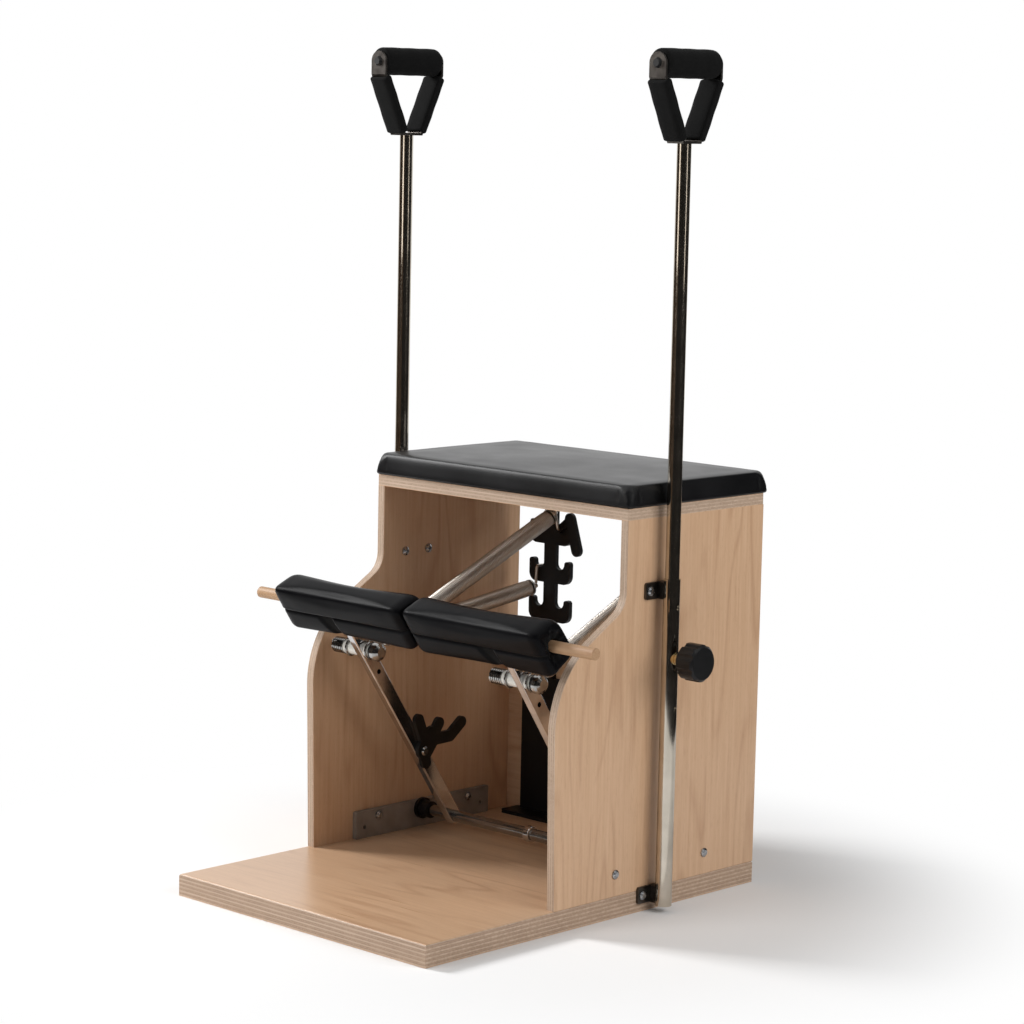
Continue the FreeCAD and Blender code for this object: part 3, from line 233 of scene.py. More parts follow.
# Light and dark tone of the plies on the edges
PALE_PLY, DIM_PLY, BROWN_PLY = ("#BFA792", "#AB927C"), ("#B29A85", "#9E8670"), ("#AC927C", "#977D67")
# Board: its material, the axis through it, the grain's axis, its plies, the end grain, the glue lines' strength
BOARDS = {
    "base_board": ("maple_plywood_flat", "Z", "X", 11, BROWN_PLY, 0.9),
    "top_board": ("maple_plywood_top", "Z", "X", 7, DIM_PLY, 0.5),
    "back_panel": ("maple_plywood_back", "Y", "X", 7, DIM_PLY, 0.5),
    "left_side_panel": ("maple_plywood_left", "X", "Z", 7, DIM_PLY, 0.2),
    "right_side_panel": ("maple_plywood_right", "X", "Z", 7, DIM_PLY, 0.2),
}
seat_vinyl = upholstery_vinyl("seat_vinyl", 0.3)
pad_vinyl = upholstery_vinyl("pad_vinyl", 0.05)
# Polished chrome plate on drawn tube: mirror that shows the room, with a breath of handling marks.
chrome = worked("polished_chrome", "#D3D3D5", "#BDBDBF", patch=30 * MM, rough=(0.05, 0.11),
                grit=2 * MM, depth=0.002 * MM, Metallic=1.0)
# Polished nickel plate on the poles and receivers: a mirror too, but warmer than chrome.
nickel = worked("polished_nickel", "#CFC7BA", "#BDB5A8", patch=30 * MM, rough=(0.05, 0.11),
                grit=2 * MM, depth=0.002 * MM, Metallic=1.0)
# Drawn spring wire, oiled: brown-grey metal, duller than the chrome.
spring_steel = worked("oiled_spring_steel", "#D2CDC6", "#C2BCB5", patch=60 * MM, rough=(0.3, 0.4),
                      grit=2 * MM, depth=0.01 * MM, Metallic=1.0)
# Cold-rolled plate, brushed along Y and clear plated: soft grey streaks one way.
plate_steel = worked("brushed_plate_steel", "#94897E", "#7A7067", patch=20 * MM, rough=(0.3, 0.46),
                     grit=1.2 * MM, depth=0.02 * MM, stretch=(1, 0.06, 1), Metallic=1.0)
# Spring-steel strap of the handles, blued by the heat it was bent in: dark grey with a dull shine.
strap_steel = worked("blued_strap_steel", "#5E5A56", "#4A4643", patch=15 * MM, rough=(0.28, 0.4),
                     grit=1.2 * MM, depth=0.02 * MM, Metallic=1.0)
# Steel plate in grey stoving lacquer: even satin grey, no metal glint.
grey_lacquer = worked("grey_stoved_lacquer", "#8E857D", "#7B726A", patch=25 * MM, rough=(0.34, 0.44),
                      grit=1.6 * MM, depth=0.03 * MM)
# Zinc-plated screws and bolts: bright bluish grey, dulled in patches.
zinc = worked("zinc_plate", "#C3C5C8", "#93969A", patch=5 * MM, rough=(0.2, 0.36),
              grit=1.5 * MM, depth=0.02 * MM, Metallic=1.0)
# Bright zinc on the turned cross bolts and axle sleeves: smooth, half a mirror, a little dark.
bright_zinc = worked("bright_zinc_plate", "#A7A6A4", "#969593", patch=20 * MM, rough=(0.14, 0.22),
                     grit=3 * MM, depth=0.004 * MM, Metallic=1.0)
# Black powder coat on steel plate: satin with a slight orange peel.
black_coat = worked("black_powder_coat", "#0A0A0B", "#050506", patch=40 * MM, rough=(0.4, 0.54),
                    grit=2.2 * MM, depth=0.05 * MM, Specular_IOR_Level=0.3)
# Moulded black ABS with a fine spark texture: near black with a soft satin light on its flutes.
black_plastic = worked("moulded_black_abs", "#0E0E0F", "#08080A", patch=15 * MM, rough=(0.32, 0.45),
                       grit=1.4 * MM, depth=0.04 * MM, Specular_IOR_Level=0.35)
# Closed-cell nitrile foam, cut skin: matt black with small open pores.
foam = worked("nitrile_foam", "#0D0D0D", "#070707", patch=9 * MM, rough=(0.86, 0.98),
              grit=1.8 * MM, depth=0.3 * MM, Sheen_Weight=0.02, Specular_IOR_Level=0.14)
# Turned nylon: milky white, slightly waxy.
nylon = worked("turned_nylon", "#E6E4DD", "#D3D0C7", patch=8 * MM, rough=(0.28, 0.4),
               grit=1.5 * MM, depth=0.02 * MM)
# Turned brass: warm yellow with fine lathe rings along X.
brass = worked("turned_brass", "#CDB98F", "#AE9766", patch=6 * MM, rough=(0.2, 0.34),
               grit=1 * MM, depth=0.03 * MM, stretch=(3, 0.2, 0.2), Metallic=1.0)

CAD_FINISHES = {
    "axle_brackets": grey_lacquer, "axle_bearings": black_plastic, "axle_shaft": chrome,
    "axle_collar": chrome, "bracket_bolts": zinc, "standoff_bolts": zinc, "knob_bushes": brass,
    "spring_catches": black_coat, "cross_dowel": beech_dowel("beech_dowel"),
}
SIDE_FINISHES = {
    "spring_post": black_coat, "spring_hooks": spring_steel, "pedal_arm": chrome,
    "axle_sleeve": bright_zinc, "pedal_plate": plate_steel, "spring_spools": nylon,
    "spool_washer": black_plastic, "arm_bolts": bright_zinc, "spring_rest": black_coat,
    "upper_spring_plug": spring_steel, "lower_spring_plug": spring_steel, "pole_receiver": nickel,
    "pole_standoffs": strap_steel, "handle_pole": nickel, "handle_strap": strap_steel,
    "grip_bolt": black_coat, "clamp_knob": black_plastic, "knob_stud": zinc,
}
CAD_FINISHES.update({board: plywood(board, *make) for board, make in BOARDS.items()})
for side, _ in SIDES:
    CAD_FINISHES.update({f"{side}_{name}": made for name, made in SIDE_FINISHES.items()})
for name, made in CAD_FINISHES.items():
    for slot in cad[name].material_slots:
        slot.material = made


# Surfaces worked out with numpy

def unit(vectors):
    """Vectors along the last axis at length one."""
    return vectors / np.linalg.norm(vectors, axis=-1, keepdims=True)


def smooth(share):
    """Eases from 0 to 1: three squares less two cubes of the clipped share."""
    share = np.clip(share, 0, 1)
    return share * share * (3 - 2 * share)


def bell(distance, width):
    """One at no distance, falling on both sides: e to minus the square of distance over width."""
    return np.exp(-(distance / width) ** 2)


def closed_faces(rows, columns):
    """Quads of a grid that closes on itself both ways, like a ring."""
    place = np.arange(rows * columns).reshape(rows, columns)
    down, right = np.roll(place, -1, 0), np.roll(place, -1, 1)
    return np.stack([place, down, np.roll(down, -1, 1), right], -1).reshape(-1, 4)


def outward(points, faces):
    """Faces turned so that the closed skin's signed volume, a sum of corner products, comes out positive."""
    a, b, c, d = (points[faces[:, k]] for k in range(4))
    volume = np.einsum("ij,ij->", a, np.cross(b, c) + np.cross(c, d))
    return faces if volume > 0 else faces[:, ::-1]


def skin(name, points, faces):
    """Puts whole arrays of points and faces into a new smooth mesh object at the origin."""
    points = points.reshape(-1, 3)
    mesh = bpy.data.meshes.new(name)
    mesh.from_pydata(points.tolist(), [], outward(points, faces).tolist())
    mesh.polygons.foreach_set("use_smooth", np.ones(len(faces), bool))
    made = bpy.data.objects.new(name, mesh)
    scene.collection.objects.link(made)
    return made


def piece(name, points, faces, material, slot, *replaced):
    """A finished piece: its skin, its material, a slot name that is not used, and the nodes that it stands for.
    """
    made = skin(name, points, faces)
    made.data.materials.append(material)
    if replaced:
        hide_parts(*replaced)
    return made


def rounder(made):
    """One subdivision, the same in the view and the render."""
    step = made.modifiers.new("rounder", "SUBSURF")
    step.levels = step.render_levels = 1


def puffed(points, faces, held, most):
    """Blows a closed skin up with cloth pressure. Held points stay, and no point moves further than most:
    a shift's length becomes most times the hyperbolic tangent of length over most."""
    pressure, frames, quality = 4.0, 20, 5
    points = points.reshape(-1, 3)
    made = skin("puffing", points, faces)
    made.vertex_groups.new(name="held").add(np.flatnonzero(held.ravel()).tolist(), 1.0, "REPLACE")
    cloth = made.modifiers.new("cloth", "CLOTH")
    cloth.settings.quality = quality
    cloth.settings.use_pressure = True
    cloth.settings.uniform_pressure_force = pressure
    cloth.settings.vertex_group_mass = "held"
    cloth.settings.effector_weights.gravity = 0.0
    cloth.collision_settings.use_collision = False
    for moment in range(1, frames + 1):
        scene.frame_set(moment)
    blown = made.evaluated_get(bpy.context.evaluated_depsgraph_get())
    moved = np.empty(points.size)
    blown.data.vertices.foreach_get("co", moved)
    shift = moved.reshape(-1, 3) - points
    length = np.linalg.norm(shift, axis=1, keepdims=True) + 1e-12
    scene.frame_set(1)
    bpy.data.objects.remove(made)
    return points + shift * (most * np.tanh(length / most) / length)


def evened(shift, reach):
    """Mean of a grid of shifts over a window of cells, reach cells each way; the outer cells are repeated
    outward."""
    for axis in (0, 1):
        pad = [(reach[axis], reach[axis]) if k == axis else (0, 0) for k in range(3)]
        wide = np.pad(shift, pad, mode="edge")
        steps = range(2 * reach[axis] + 1)
        shift = np.mean([np.take(wide, range(k, k + shift.shape[axis]), axis) for k in steps], axis=0)
    return shift


def rounded_outline(corners, radii):
    """Closed outline of a polygon: each corner is cut by an arc tangent to both its sides."""
    arc_points = 16
    corners, radii = np.asarray(corners, float), np.asarray(radii, float)[:, None]
    back, ahead = unit(np.roll(corners, 1, 0) - corners), unit(np.roll(corners, -1, 0) - corners)
    half = np.arccos(np.sum(back * ahead, 1, keepdims=True)) / 2
    centre = corners + unit(back + ahead) * radii / np.sin(half)
    first = (corners + back * radii / np.tan(half) - centre)[:, None]
    last = (corners + ahead * radii / np.tan(half) - centre)[:, None]
    sweep, share = (np.pi - 2 * half)[:, None], np.linspace(0, 1, arc_points)[None, :, None]
    arc = (np.sin((1 - share) * sweep) * first + np.sin(share * sweep) * last) / np.sin(sweep)
    return (centre[:, None] + arc).reshape(-1, 2)


def run_along(outline):
    """Distance along a closed outline to each of its points, and round to the first again."""
    closed = np.vstack([outline, outline[:1]])
    return np.concatenate([[0], np.cumsum(np.linalg.norm(np.diff(closed, axis=0), axis=1))])


def at_distance(outline, run, steps):
    """Points of a closed outline at the given distances along it."""
    closed = np.vstack([outline, outline[:1]])
    return np.column_stack([np.interp(steps, run, closed[:, k]) for k in range(2)])


def carried(sections, stations, origin, across, deep, along):
    """A profile carried along a straight path: each row's section lies in across and deep, at its own
    station."""
    flat = sections[..., 0:1] * across + sections[..., 1:2] * deep
    return origin + flat + np.asarray(stations)[..., None] * along


def oval(half_a, half_b, power, count=40):
    """Superellipse: |a|^power + |b|^power = 1 at even angles; a high power comes near a rectangle."""
    angle = np.linspace(0, 2 * np.pi, count, endpoint=False)
    c, s = np.cos(angle), np.sin(angle)
    reach = (np.abs(c) ** power + np.abs(s) ** power) ** (-1 / power)
    return np.column_stack([half_a * reach * c, half_b * reach * s])


# Seat: vinyl drawn over foam on the seat board, folded and sewn at each corner

SEAT_CORNER, SEAT_CELL, SEAT_CROWN, SEAT_SWELL = 26 * MM, 5.5 * MM, 3.2 * MM, 2.2 * MM
SEAT_REAR_REACH = 6 * MM   # how much further back than its solid the cover reaches
# The cover's side, ring by ring from the top to the underside: how far in from the outline, and how high
SEAT_INSET = np.array([26, 18, 11, 7, 4.4, 2.4, 0.8, -0.4, -1.2, -1.6, -1.6, -1.0, 3.0]) * MM
SEAT_RISE = np.array([35.6, 35.6, 35.6, 35.4, 34.3, 32.2, 28.6, 23.6, 18.0, 11.8, 6.0, 1.0, 0.0]) * MM


def seat_sheet(cells, band, half, spread, rise, crown):
    """A rectangle swept outward: inner cells lie flat with a crown, and ring k of the band goes out by spread
    and to height rise. In a corner the ring turns through a quarter superellipse, squarer further down, as
    the cell's two depths trade places. Gives the points, each one's ring, its nearness to the corner's
    diagonal from 0 to 1, and its way out."""
    squarer, square_ring = 5, 6
    count_a, count_b = cells
    i = np.arange(-count_a - band, count_a + band + 1)[:, None]
    j = np.arange(-count_b - band, count_b + band + 1)[None, :]
    over_a = np.clip(np.abs(i) - count_a, 0, None) + 0 * j
    over_b = np.clip(np.abs(j) - count_b, 0, None) + 0 * i
    ring = np.maximum(over_a, over_b)
    turn = np.where(over_a >= over_b, over_b, 2 * ring - over_a) / np.maximum(2 * ring, 1) * (np.pi / 2)
    power = 2 + squarer * smooth(ring / square_ring)
    reach = spread[ring] * (np.cos(turn) ** power + np.sin(turn) ** power) ** (-1 / power)
    inner_a, inner_b = np.clip(i / count_a, -1, 1), np.clip(j / count_b, -1, 1)
    a = inner_a * half[0] + np.sign(i) * reach * np.cos(turn) * (over_a > 0)
    b = inner_b * half[1] + np.sign(j) * reach * np.sin(turn) * (over_b > 0)
    height = rise[ring] + crown * (1 - inner_a ** 2) ** 2 * (1 - inner_b ** 2) ** 2
    diagonal = np.minimum(over_a, over_b) / np.maximum(ring, 1)
    way_out = np.stack([np.sign(i) * np.cos(turn), np.sign(j) * np.sin(turn), 0 * turn], -1)
    return np.stack([a, b, height], -1), ring, diagonal, way_out


def seat_pad():
    """Upper sheet over the top and down the sides, lower sheet under it, joined along their outer ring and
    blown up. A sewn lip with a groove above it runs level along the sides and turns down into each corner,
    where the top falls into a valley and the side puckers. Widths and places on the side are in rings."""
    seam_ring, corner_fall, window = 4.2, 6.0, (5, 5)
    lip, lip_width = 0.9 * MM, 0.8
    groove, groove_width, groove_above = 1.1 * MM, 0.7, 1.3
    valley, pucker, pucker_place, pucker_width = 2.4 * MM, 1.3 * MM, 0.14, 0.1
    low, high = (np.array(end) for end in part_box("seat_cushion"))
    rear = SEAT_REAR_REACH / 2 * Y
    middle, half = (low + high) / 2 + rear, ((high - low) / 2 + rear)[:2]
    flat, band = half - SEAT_CORNER, len(SEAT_INSET) - 1
    cells = np.round(flat / SEAT_CELL).astype(int)
    top, ring, diagonal, way_out = seat_sheet(cells, band, flat, SEAT_CORNER - SEAT_INSET, SEAT_RISE,
                                              SEAT_CROWN)
    under_inset = np.linspace(SEAT_CORNER, SEAT_INSET[-1], band + 1)
    under, under_ring = seat_sheet(cells, band, flat, SEAT_CORNER - under_inset, 0 * SEAT_RISE, 0)[:2]
    place = np.arange(ring.size).reshape(ring.shape)
    inner = under_ring < band
    below = place.copy()
    below[inner] = place.size + np.arange(inner.sum())
    upper_faces, lower_faces = (np.stack([p[:-1, :-1], p[1:, :-1], p[1:, 1:], p[:-1, 1:]], -1).reshape(-1, 4)
                                for p in (place, below))
    faces = np.vstack([upper_faces, lower_faces[:, ::-1]])
    points = np.vstack([top.reshape(-1, 3), under[inner]]) + [middle[0], middle[1], low[2]]
    held = np.concatenate([ring.ravel(), np.full(inner.sum(), band)]) >= band - 1
    swell = (puffed(points, faces, held, SEAT_SWELL) - points)[:place.size].reshape(top.shape)
    free = 1 - smooth((ring - band + 4) / 3)
    beyond = ring - (seam_ring + corner_fall * diagonal ** 2)
    raised = lip * bell(beyond, lip_width) - groove * bell(beyond + groove_above, groove_width)
    raised = raised - valley * smooth(-beyond / 2.5) * smooth(diagonal / 0.7) * smooth((ring - 3) / 2)
    raised = raised - pucker * bell(diagonal - pucker_place, pucker_width) * smooth((ring - 6) / 2) * free
    side = smooth((ring - 1) / 5)[..., None]
    shift = evened(swell, window) * free[..., None] + (side * way_out + (1 - side) * Z) * raised[..., None]
    points[:place.size] += shift.reshape(-1, 3)
    made = piece("seat_pad", points, faces, seat_vinyl, "vinyl", "seat_cushion")
    rounder(made)
    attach(made, "chair_frame")


seat_pad()


# Pedal pads, in the arm's own directions: back (square to the arm) and up along it, from the axle

HINGE = np.array([0.0, 0.135, 0.065])
ARM_RISE = 55.5   # degrees from the floor at rest
lean = math.radians(90 - ARM_RISE)
back_way = np.array([0, math.cos(lean), math.sin(lean)])
up_way = np.array([0, -math.sin(lean), math.cos(lean)])
PAD_INNER, PAD_OUTER = 3 * MM, 285 * MM   # the pad's ends, from the chair's middle
PAD_HALF, PAD_BOTTOM, PAD_TOP = 30 * MM, 414.1 * MM, 497.5 * MM
PAD_SEAM = PAD_TOP - 45 * MM
FRONT_EDGE, REAR_BOTTOM_EDGE, REAR_TOP_EDGE = 6 * MM, 13 * MM, 20 * MM
REAR_TOP_FALL, REAR_TOP_IN = 10 * MM, 3 * MM
PAD_END, PAD_END_INSET, PAD_WAIST, PAD_SWELL = 16 * MM, 8 * MM, 1.2 * MM, 2.6 * MM
DOWEL_UP, DOWEL_HOLE, BORE_START = 451.5 * MM, 11 * MM, 22 * MM
DISH, GATHERS, GATHER_DEPTH = 6 * MM, 9, 1.6 * MM
SEAM_DEPTH, SEAM_LIP, SEAM_LIP_WIDTH, SEAM_SPREAD = 2.6 * MM, 1.0 * MM, 2.6 * MM, 3.8 * MM
# The gap over the arm, in millimetres: the arm's middle, each edge beside it at the seam and at the bottom
GAP_MIDDLE, GAP_EDGES, GAP_SOFT = 174, ((-30, -2), (2, 13)), 1.6
GAP_DEPTH, FRONT_DEPTH, OUTSIDE_GAP = 3.6 * MM, 8 * MM, -9


def pad_section(inset):
    """Pad outline at an inset: crisp front edges, top that slopes to a soft rear edge, rounded rear bottom."""
    half = PAD_HALF - inset
    corners = [(-half, PAD_TOP - inset), (-half, PAD_BOTTOM + inset), (half, PAD_BOTTOM + inset),
               (half - REAR_TOP_IN, PAD_TOP - REAR_TOP_FALL - inset)]
    return rounded_outline(corners, [FRONT_EDGE, FRONT_EDGE, REAR_BOTTOM_EDGE, REAR_TOP_EDGE])


def pad_steps():
    """Even steps along the pad's section, closer at the seam: their points, how each moves for a unit of inset,
    and their distance from the seam."""
    inset, count, cleared, close = 1 * MM, 64, 4.5 * MM, 1.2 * MM
    plain, shrunk = pad_section(0), pad_section(inset)
    run = run_along(plain)
    corner = np.argmin(np.hypot(plain[:, 0] + PAD_HALF, plain[:, 1] - PAD_BOTTOM - FRONT_EDGE))
    seam = run[corner] - (PAD_SEAM - PAD_BOTTOM - FRONT_EDGE)
    steps = np.linspace(0, run[-1], count, endpoint=False)
    steps = steps[np.abs(steps - seam) > cleared]
    steps = np.sort(np.concatenate([steps, seam + np.array([-SEAM_SPREAD, -close, 0, close, SEAM_SPREAD])]))
    section = at_distance(plain, run, steps)
    return section, (at_distance(shrunk, run, steps) - section) / inset, steps - seam


def foot_pad(side, hand):
    """Pad skin as a ring: the section carried along X, dished ends gathered in to the dowel's hole, and the
    bore between. Cloth pressure fills it between the seam and the ends; then the seam is sunk, and the slanted
    gap in the lower front, where the arm's plate goes in, is pushed back. Gap and seam take the matt black foam
    as painted shade, which takes their sheen away so that they read darker; the bore takes it too."""
    end_rows, body_rows, window = 5, 80, (8, 0)
    seam_hold, seam_half, seam_shade_width, bottom_hold = 1.4 * MM, 1.3 * MM, 0.6 * MM, 3 * MM
    x0, x1 = sorted((hand * PAD_INNER, hand * PAD_OUTER))
    section, drawn, from_seam = pad_steps()
    turn = np.linspace(0, np.pi / 2, end_rows + 1)[:-1]
    start_x, start_inset = x0 + PAD_END * (1 - np.cos(turn)), PAD_END_INSET * (1 - np.sin(turn))
    stations = np.linspace(x0 + PAD_END, x1 - PAD_END, body_rows)
    row_x = np.concatenate([start_x, stations, (x0 + x1) - start_x[::-1]])
    row_inset = np.concatenate([start_inset, np.zeros(len(stations)), start_inset[::-1]])
    waist = PAD_WAIST * np.sin(np.pi * (row_x - x0) / (x1 - x0)) ** 2
    body = section[None] + (row_inset + waist)[:, None, None] * drawn[None]
    centre = np.array([0, DOWEL_UP])
    around = np.arctan2(*(section - centre).T[::-1])
    hole = centre + DOWEL_HOLE * np.column_stack([np.cos(around), np.sin(around)])
    share = np.array([0.2, 0.42, 0.64, 0.84, 1.0])[:, None]
    cap = body[-1] * (1 - share[..., None]) + hole * share[..., None]
    dish = DISH * smooth(share) + GATHER_DEPTH * np.sin(np.pi * share) * np.cos(GATHERS * around)
    bore_x = np.array([x1 - BORE_START, x0 + BORE_START])[:, None] + 0 * around
    sections = np.concatenate([body, cap, hole[None], hole[None], cap[::-1]])
    rows_x = np.concatenate([row_x[:, None] + 0 * around, x1 - dish, bore_x, (x0 + dish)[::-1]])
    points = carried(sections, rows_x, HINGE, back_way, up_way, X)
    faces = closed_faces(*points.shape[:2])

    row = np.arange(len(sections))[:, None]
    on_body, on_back, on_up = row < len(body), sections[..., 0], sections[..., 1]
    seam_gap = np.abs(from_seam) + 0 * rows_x
    held = ~on_body | (seam_gap < seam_hold) | (on_up < PAD_BOTTOM + bottom_hold)
    swell = puffed(points, faces, held, PAD_SWELL).reshape(points.shape) - points
    blown = points.copy()
    blown[:len(body)] += evened(swell[:len(body)], window)

    fall = np.clip((PAD_SEAM - on_up) / (PAD_SEAM - PAD_BOTTOM), 0, 1)
    gap_left, gap_right = (hand * GAP_MIDDLE + at_seam * (1 - fall) + at_bottom * fall
                           for at_seam, at_bottom in GAP_EDGES)
    in_front = on_body & (on_back < -PAD_HALF + FRONT_DEPTH) & (on_up < PAD_SEAM)
    into_gap = np.where(in_front, np.minimum(rows_x / MM - gap_left, gap_right - rows_x / MM), OUTSIDE_GAP)
    lip = SEAM_LIP * bell(from_seam + SEAM_SPREAD, SEAM_LIP_WIDTH)
    groove = np.where(seam_gap < seam_half, SEAM_DEPTH, -lip) * on_body
    gap_sunk = GAP_DEPTH * smooth((into_gap + GAP_SOFT) / (2 * GAP_SOFT)) + groove * (into_gap < -GAP_SOFT)
    sunk = np.maximum(groove, gap_sunk)
    made = piece(side + "_foot_pad", blown + sunk[..., None] * back_way, faces, pad_vinyl, "vinyl",
                 side + "_pedal_pad")
    # The matt black foam on the gap and seam faces is painted shade that takes the vinyl's sheen out of these
    # recesses; the bore gets it as well.
    made.data.materials.append(foam)
    in_bore = (row > len(body) + 1) & (row < len(sections) - 3)
    shade_and_bore_lining = ((into_gap > 0) | (seam_gap < seam_shade_width) & on_body | in_bore).ravel()
    made.data.polygons.foreach_set("material_index", (shade_and_bore_lining[faces].sum(1) >= 2).astype(np.int32))
    rounder(made)
    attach(made, side + "_pedal")


for side, hand in SIDES:
    foot_pad(side, hand)


# Springs: close-wound extension coils, drawn at rest; the real ones open as their pedal goes down

WIRE, COIL_RADIUS, COIL_PITCH = 1.5 * MM, 12.4 * MM, 3.1 * MM
COIL_BEGIN, COIL_SHORT, COIL_TAIL = 17 * MM, 30 * MM, 16.5 * MM   # from the link, short of the eye, towards it
# Where each spring hangs on its post and where the arm's eye holds it, in millimetres
SPRINGS = {
    "left_upper_spring": ((-137, 325, 552), (-158.5, -70.6, 364.2)),
    "left_lower_spring": ((-183, 331, 424), (-202, -70.6, 364.2)),
    "right_upper_spring": ((183, 325, 552), (189.5, -70.6, 364.2)),
    "right_lower_spring": ((137, 331, 424), (146, -70.6, 364.2)),
}


def spring_coil(name, link, eye):
    """Helix round the line from link to eye, drawn in to the flange at one end and down to the eye wire at the
    other; a round section is carried along it in the helix's own radial direction."""
    turn_points, tail_points, wire_points, tail_turns, end_taper = 16, 24, 6, 0.9, 0.02
    flange_draw, eye_draw = 1.6 * MM, 4.5 * MM
    link, eye = np.array(link) * MM, np.array(eye) * MM
    length = np.linalg.norm(eye - link)
    way = (eye - link) / length
    side_a = unit(np.cross(way, Z))
    side_b = np.cross(way, side_a)
    end = length - COIL_SHORT
    turns = (end - COIL_BEGIN) / COIL_PITCH
    turn = np.linspace(0, turns, int(turns * turn_points))
    along = COIL_BEGIN + COIL_PITCH * turn
    reach = COIL_RADIUS - flange_draw * np.exp(-turn / 1.2) - eye_draw * np.exp(-(turns - turn) / 1.1)
    tail = np.linspace(0, 1, tail_points + 1)[1:]
    turn = np.concatenate([turn, turns + tail_turns * tail])
    along = np.concatenate([along, end + COIL_TAIL * (0.25 * tail + 0.75 * tail ** 2)])
    reach = np.concatenate([reach, reach[-1] * (1 - smooth(tail * 1.1))])
    angle = 2 * np.pi * turn
    radial = np.cos(angle)[:, None] * side_a + np.sin(angle)[:, None] * side_b
    line = link + along[:, None] * way + reach[:, None] * radial
    ahead = unit(np.gradient(line, axis=0))
    radial = unit(radial - np.sum(radial * ahead, 1, keepdims=True) * ahead)[:, None]
    beside = np.cross(ahead, radial[:, 0])[:, None]
    round_way = np.linspace(0, 2 * np.pi, wire_points, endpoint=False)[None, :, None]
    taper = np.ones(len(line))
    taper[[0, -1]] = end_taper
    ring = np.cos(round_way) * radial + np.sin(round_way) * beside
    points = line[:, None] + WIRE * taper[:, None, None] * ring
    place = np.arange(points[..., 0].size).reshape(points.shape[:2])
    right = np.roll(place, -1, 1)
    faces = np.stack([place[:-1], place[1:], right[1:], right[:-1]], -1).reshape(-1, 4)
    made = piece(name + "_coil", points, faces, spring_steel, "spring_steel", name)
    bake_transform(made)


for name, (link, eye) in SPRINGS.items():
    spring_coil(name, link, eye)


# Handles: foam roll on the grip bolt and a flat foam sleeve on each leg of the strap

GRIP_RADIUS, GRIP_BORE, GRIP_HALF, GRIP_SOFT = 22 * MM, 5.2 * MM, 60.7 * MM, 6 * MM
LEG_FOOT_OUT, LEG_TOP_OUT, LEG_RISE, LEG_IN, LEG_SOFT = 20 * MM, 65 * MM, 96 * MM, 2 * MM, 4 * MM
LEG_START, LEG_END = 0.04, 0.96   # shares of the strap's leg that the sleeve covers
LEG_OUTER = oval(20 * MM, 8.2 * MM, 4.5) + [0, 0.6 * MM]
LEG_INNER = oval(16.2 * MM, 2.2 * MM, 12)


def foam_sleeve(name, body, origin, across, deep, along, outer, inner, start, end, soften):
    """Foam ring: outer section with softened ends and a slight wave carried from start to end, and back along
    the inner section."""
    wave, wave_length = 0.25 * MM, 37 * MM
    length = end - start
    turn = np.linspace(0, np.pi / 2, 5)[:-1]
    end_rows, end_inset = soften * (1 - np.cos(turn)), soften * (1 - np.sin(turn))
    middle = np.linspace(soften, length - soften, 14)
    rows = np.concatenate([end_rows, middle, length - end_rows[::-1], [length, 0]])
    inset = np.concatenate([end_inset, wave * np.sin(middle * 2 * np.pi / wave_length), end_inset[::-1]])
    shrunk = outer[None] * (1 - inset[:, None, None] / np.abs(outer).max(0))
    sections = np.concatenate([shrunk, inner[None], inner[None]])
    points = carried(sections, (start + rows)[:, None] + 0 * sections[..., 0], origin, across, deep, along)
    made = piece(name, points, closed_faces(*points.shape[:2]), foam, "foam",
                 body.replace("_handle", "_handle_foam"))
    rounder(made)
    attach(made, body)


for side, _ in SIDES:
    body = side + "_handle"
    low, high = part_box(side + "_grip_bolt")
    grip = (np.array(low) + np.array(high)) / 2
    foam_sleeve(side + "_grip_foam", body, grip, X, Z, Y, oval(GRIP_RADIUS, GRIP_RADIUS, 2),
                oval(GRIP_BORE, GRIP_BORE, 2), -GRIP_HALF, GRIP_HALF, GRIP_SOFT)
    foot = np.array(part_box(side + "_handle_strap")[0])[2]
    for end, turn in (("front", -1), ("back", 1)):
        start = np.array([grip[0], grip[1] + turn * LEG_FOOT_OUT, foot])
        leg = np.array([grip[0], grip[1] + turn * LEG_TOP_OUT, foot + LEG_RISE]) - start
        way, length = unit(leg), np.linalg.norm(leg)
        inward = np.array([0, -turn * way[2], turn * way[1]])
        foam_sleeve(f"{side}_{end}_leg_foam", body, start + inward * LEG_IN, X, inward, way,
                    LEG_OUTER, LEG_INNER, LEG_START * length, LEG_END * length, LEG_SOFT)


# Studio: pale floor, white surround, soft light

FLOOR_HALF, FLOOR_DROP, SHADOW_NEAR, SHADOW_FAR = 6.0, 0.5 * MM, 0.5, 0.95
# Each lamp's place, what it looks at, its side in metres and its power in watts
LAMPS = {
    "left_key": ((-2.6, -1.1, 2.2), (0, -0.1, 0.2), 0.9, 105),
    "right_side": ((3.0, 0.5, 1.7), (0.25, 0.1, 0.35), 2.2, 56),
    "front": ((-0.9, -3.3, 1.5), (0, 0, 0.3), 1.6, 45),
}
# Each wall's tones, headings in degrees, heights and distance in metres, and glow
ROOM = {
    "room_dark_side": ("#15110E", "#0C0A09", (12, 172), (0, 2.2), 1.57, 0.0),
    "room_warm_side": ("#4A3828", "#33271C", (-88, 12), (0, 2.2), 1.57, 0.0),
    "room_window": ("#FFF8F0", "#F5ECE2", (-23, -4), (0.89, 2.2), 1.55, 1.0),
    "room_doorway": ("#FFF8F0", "#F5ECE2", (98, 104), (0.89, 2.2), 1.55, 0.5),
}


